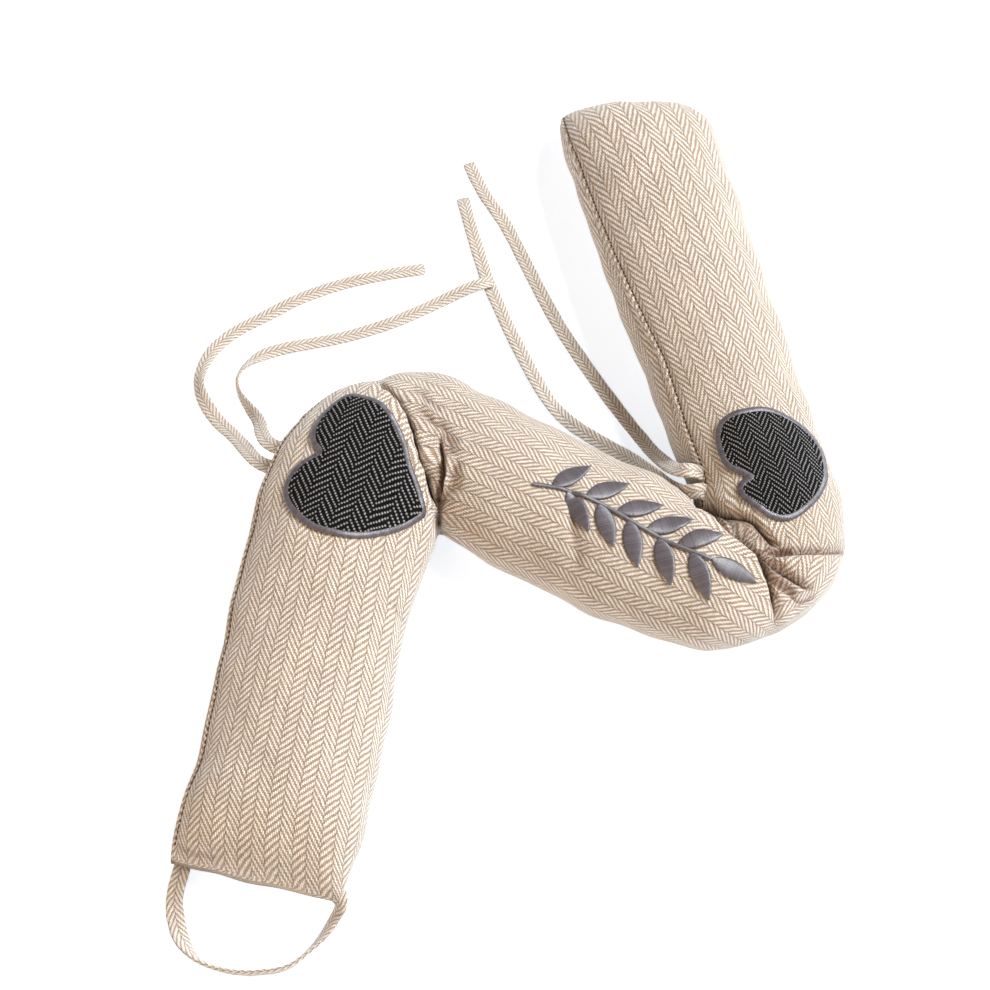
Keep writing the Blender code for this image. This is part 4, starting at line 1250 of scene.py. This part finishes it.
def build_sprig(material, find):
    """The sewn sprig: a raised stem, and leaves on both sides of it and at its
    tip, all in satin stitch."""
    stem = even_points(smooth_rows(SPRIG_STEM, 24), SPRIG_ROWS)
    along = np.gradient(stem, axis=0)
    along /= np.linalg.norm(along, axis=1)[:, None]
    parts = []
    line = even_points(stem, 220)
    spots, ways = find(line)
    parts.append(raised_row(spots + ways * SPRIG_LIFT, ways, SPRIG_WIDE * 5, STEM_HIGH, False))
    places = [(row + 1, side) for row, side in LEAVES] + [(SPRIG_ROWS - 1, 0)]
    for row, side in places:
        turn = math.radians(LEAF_TURN) * side
        near = along[row]
        way = np.array([near[0] * math.cos(turn) - near[1] * math.sin(turn),
                        near[0] * math.sin(turn) + near[1] * math.cos(turn)])
        leaf, width = leaf_line(stem[row] + way * 0.05, way, LEAF_LONG - 0.1, 60)
        spots, ways = find(leaf)
        parts.append(raised_row(spots + ways * SPRIG_LIFT, ways, LEAF_WIDE * 5, LEAF_HIGH,
                                False, pinch=width))
    piece = add_mesh_parts("sprig_thread", parts)
    face_out(piece)
    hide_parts("sewn_sprig")
    finish_piece(piece, material)


def build_tape(name, rows, sizes, material):
    """A tie or the loop: a tape folded in half and stitched flat, as long as
    the photo shows, lying loosely. Its roots run on into the seam."""
    rows = ROOTS[name][0] + rows + ROOTS[name][1]
    fine = smooth_rows(rows, 12)
    length = run_length(fine[:, 0:3])[-1] * CM
    count = int(length / sizes.step) + 1
    fine = even_points(fine, count)
    line = placed(fine[:, 0:3])
    tilt = np.radians(fine[:, 3])
    along = np.gradient(line, axis=0)
    along /= np.linalg.norm(along, axis=1)[:, None]
    side = np.cross(along, np.array([0.0, 0.0, 1.0]))
    side /= np.linalg.norm(side, axis=1)[:, None]
    up = np.cross(side, along)
    wide = np.cos(tilt)[:, None] * up + np.sin(tilt)[:, None] * side
    thin = np.cross(wide, along)
    half = sizes.width / 2
    flat = sizes.thick / 2
    turn = np.linspace(0.0, 2 * math.pi, TAPE_AROUND, endpoint=False)
    across = np.sign(np.cos(turn)) * np.abs(np.cos(turn)) ** 0.55
    lift = np.sign(np.sin(turn)) * np.abs(np.sin(turn)) ** 0.75
    rib = run_length(np.column_stack([np.append(across, across[0]) * half,
                                      np.append(lift, lift[0]) * flat]))
    rib = rib / rib[-1] * TAPE_COLUMNS
    rings = []
    for i in range(count):
        wave = 1.0 + 0.035 * math.sin(i * 0.83) * math.cos(i * 0.31 + 1.0)
        # a shallow groove runs down the middle, where the halves meet
        groove = 1.0 - 0.16 * np.exp(-(across / 0.22) ** 2)
        rings.append(line[i] + across[:, None] * half * wave * wide[i]
                     + (lift * groove)[:, None] * flat * thin[i])
    points = np.array(rings)
    points[:, :, 2] = np.maximum(points[:, :, 2], TAPE_LOW)
    faces = grid_faces(count, len(turn), True)
    gone = run_length(line) / TAPE_LINE
    grain = []
    for index in range(len(faces)):
        i, j = divmod(index, len(turn))
        grain += [(rib[j], gone[i]), (rib[j + 1], gone[i]),
                  (rib[j + 1], gone[i + 1]), (rib[j], gone[i + 1])]
    for i in (0, count - 1):
        faces.append(tuple(range(i * len(turn), (i + 1) * len(turn))))
        grain += [(rib[j], gone[i]) for j in range(len(turn))]
    piece = new_piece(name + "_tape", points.reshape(-1, 3), faces, grain)
    face_out(piece)
    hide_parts(name)
    finish_piece(piece, material)


class SEW_OT_tube(bpy.types.Operator):
    """Make the filled tube and the stitches of its seam"""
    bl_idname = "sew.tube"
    bl_label = "Filled tube"

    def execute(self, context):
        scene = context.scene
        colours = scene.sew_colours
        cloth = herringbone("polyester herringbone twill", colours.warp, colours.weft,
                            colours.gap, **WEAVES["tube"])
        build_tube(scene.sew_tube, cloth)
        thread = sewing_thread("brown polyester sewing thread", colours.seam)
        build_stitches(scene.sew_stitch, scene.sew_tube, thread)
        return {"FINISHED"}


class SEW_OT_hearts(bpy.types.Operator):
    """Make the two heart patches with their stitched borders"""
    bl_idname = "sew.hearts"
    bl_label = "Heart patches"

    def execute(self, context):
        scene = context.scene
        colours = scene.sew_colours
        cloth = herringbone("black and grey herringbone tweed", colours.fleck, colours.black,
                            colours.black, **WEAVES["heart"])
        satin = satin_thread("mauve grey rayon thread", colours.satin_dark,
                             colours.satin_light, BORDER_THREAD_MM)
        find = cloth_finder(bpy.data.objects["tube_cloth"])
        for number in range(len(PATCHES)):
            build_heart(number, cloth, satin, scene.sew_stitch, find)
        return {"FINISHED"}


class SEW_OT_sprig(bpy.types.Operator):
    """Make the sewn sprig in satin stitch"""
    bl_idname = "sew.sprig"
    bl_label = "Sewn sprig"

    def execute(self, context):
        colours = context.scene.sew_colours
        satin = satin_thread("grey rayon thread", colours.satin_dark, colours.satin_light,
                             SPRIG_THREAD_MM)
        build_sprig(satin, cloth_finder(bpy.data.objects["tube_cloth"]))
        return {"FINISHED"}


class SEW_OT_tapes(bpy.types.Operator):
    """Make the four ties and the hanging loop"""
    bl_idname = "sew.tapes"
    bl_label = "Ties and loop"

    def execute(self, context):
        scene = context.scene
        colours = scene.sew_colours
        cloth = herringbone("narrow herringbone tape", colours.warp, colours.weft,
                            colours.gap, **WEAVES["tape"])
        for name, rows in TAPES:
            build_tape(name, rows, scene.sew_tape, cloth)
        return {"FINISHED"}


class SEW_OT_stage(bpy.types.Operator):
    """Make the floor, the lights and the camera at the photo's angle"""
    bl_idname = "sew.stage"
    bl_label = "Stage"

    def execute(self, context):
        make_stage(context.scene)
        return {"FINISHED"}


def make_light(name, place, size, power, colour):
    """A square soft light aimed at the middle of the piece."""
    lamp = bpy.data.lights.new(name, "AREA")
    lamp.shape = "SQUARE"
    lamp.size = size
    lamp.energy = power
    lamp.color = colour
    light = bpy.data.objects.new(name, lamp)
    light.location = place
    light.rotation_euler = (-Vector(place)).to_track_quat("-Z", "Y").to_euler()
    bpy.context.scene.collection.objects.link(light)


def make_stage(scene):
    """A near-white floor, a soft light from the upper right and a warm weak one
    from the lower left, and the camera."""
    bpy.ops.object.select_all(action="DESELECT")
    bpy.ops.mesh.primitive_plane_add(size=FLOOR_SIZE, location=(0, 0, -FLOOR_UNDER))
    floor = bpy.context.active_object
    floor.name = "floor"
    paper, _, shader = new_material("white studio paper")
    shader.inputs["Base Color"].default_value = (*linear(FLOOR_COLOUR), 1.0)
    shader.inputs["Roughness"].default_value = 0.9
    shader.inputs["Specular IOR Level"].default_value = 0.1
    # lit a little from below, as a light table is
    shader.inputs["Emission Color"].default_value = (*linear(FLOOR_GLOW), 1.0)
    shader.inputs["Emission Strength"].default_value = FLOOR_GLOW_STRENGTH
    floor.data.materials.append(paper)
    for light in LIGHTS:
        make_light(*light)
    world = bpy.data.worlds.new("soft room")
    world.use_nodes = True
    back = world.node_tree.nodes["Background"]
    back.inputs["Color"].default_value = (*linear(ROOM_COLOUR), 1.0)
    back.inputs["Strength"].default_value = ROOM_STRENGTH
    scene.world = world
    eye = bpy.data.cameras.new("photo camera")
    eye.lens = LENS_MM
    eye.sensor_width = SENSOR_MM
    camera = bpy.data.objects.new("photo camera", eye)
    camera.location = CAMERA_PLACE
    camera.rotation_euler = (math.radians(CAMERA_TILT), 0.0, 0.0)
    scene.collection.objects.link(camera)
    scene.camera = camera
    scene.view_settings.view_transform = "Standard"


class SEW_PT_panel(bpy.types.Panel):
    """The steps that make the draught excluder, in order"""
    bl_idname = "SEW_PT_panel"
    bl_label = "Draught excluder"
    bl_space_type = "VIEW_3D"
    bl_region_type = "UI"
    bl_category = "Draught"

    def draw(self, context):
        for step in STEPS:
            self.layout.operator(step.bl_idname, text=step.bl_label)
        for group in (context.scene.sew_tube, context.scene.sew_stitch,
                      context.scene.sew_tape, context.scene.sew_colours):
            for key in group.__annotations__:
                self.layout.prop(group, key)


STEPS = (SEW_OT_stage, SEW_OT_tube, SEW_OT_tapes, SEW_OT_hearts, SEW_OT_sprig)
GROUPS = {"sew_tube": TubeSizes, "sew_stitch": StitchSizes, "sew_tape": TapeSizes,
          "sew_colours": Colours}


def register():
    """Register the settings, the operators and the panel."""
    for name, group in GROUPS.items():
        bpy.utils.register_class(group)
        setattr(bpy.types.Scene, name, PointerProperty(type=group))
    for step in STEPS:
        bpy.utils.register_class(step)
    bpy.utils.register_class(SEW_PT_panel)


def unregister():
    """Take them away again, in the other order."""
    bpy.utils.unregister_class(SEW_PT_panel)
    for step in reversed(STEPS):
        bpy.utils.unregister_class(step)
    for name, group in reversed(GROUPS.items()):
        delattr(bpy.types.Scene, name)
        bpy.utils.unregister_class(group)


def main():
    register()
    for make in (bpy.ops.sew.stage, bpy.ops.sew.tube, bpy.ops.sew.tapes,
                 bpy.ops.sew.hearts, bpy.ops.sew.sprig):
        make()
    bpy.context.view_layer.update()


if __name__ == "__main__":
    main()
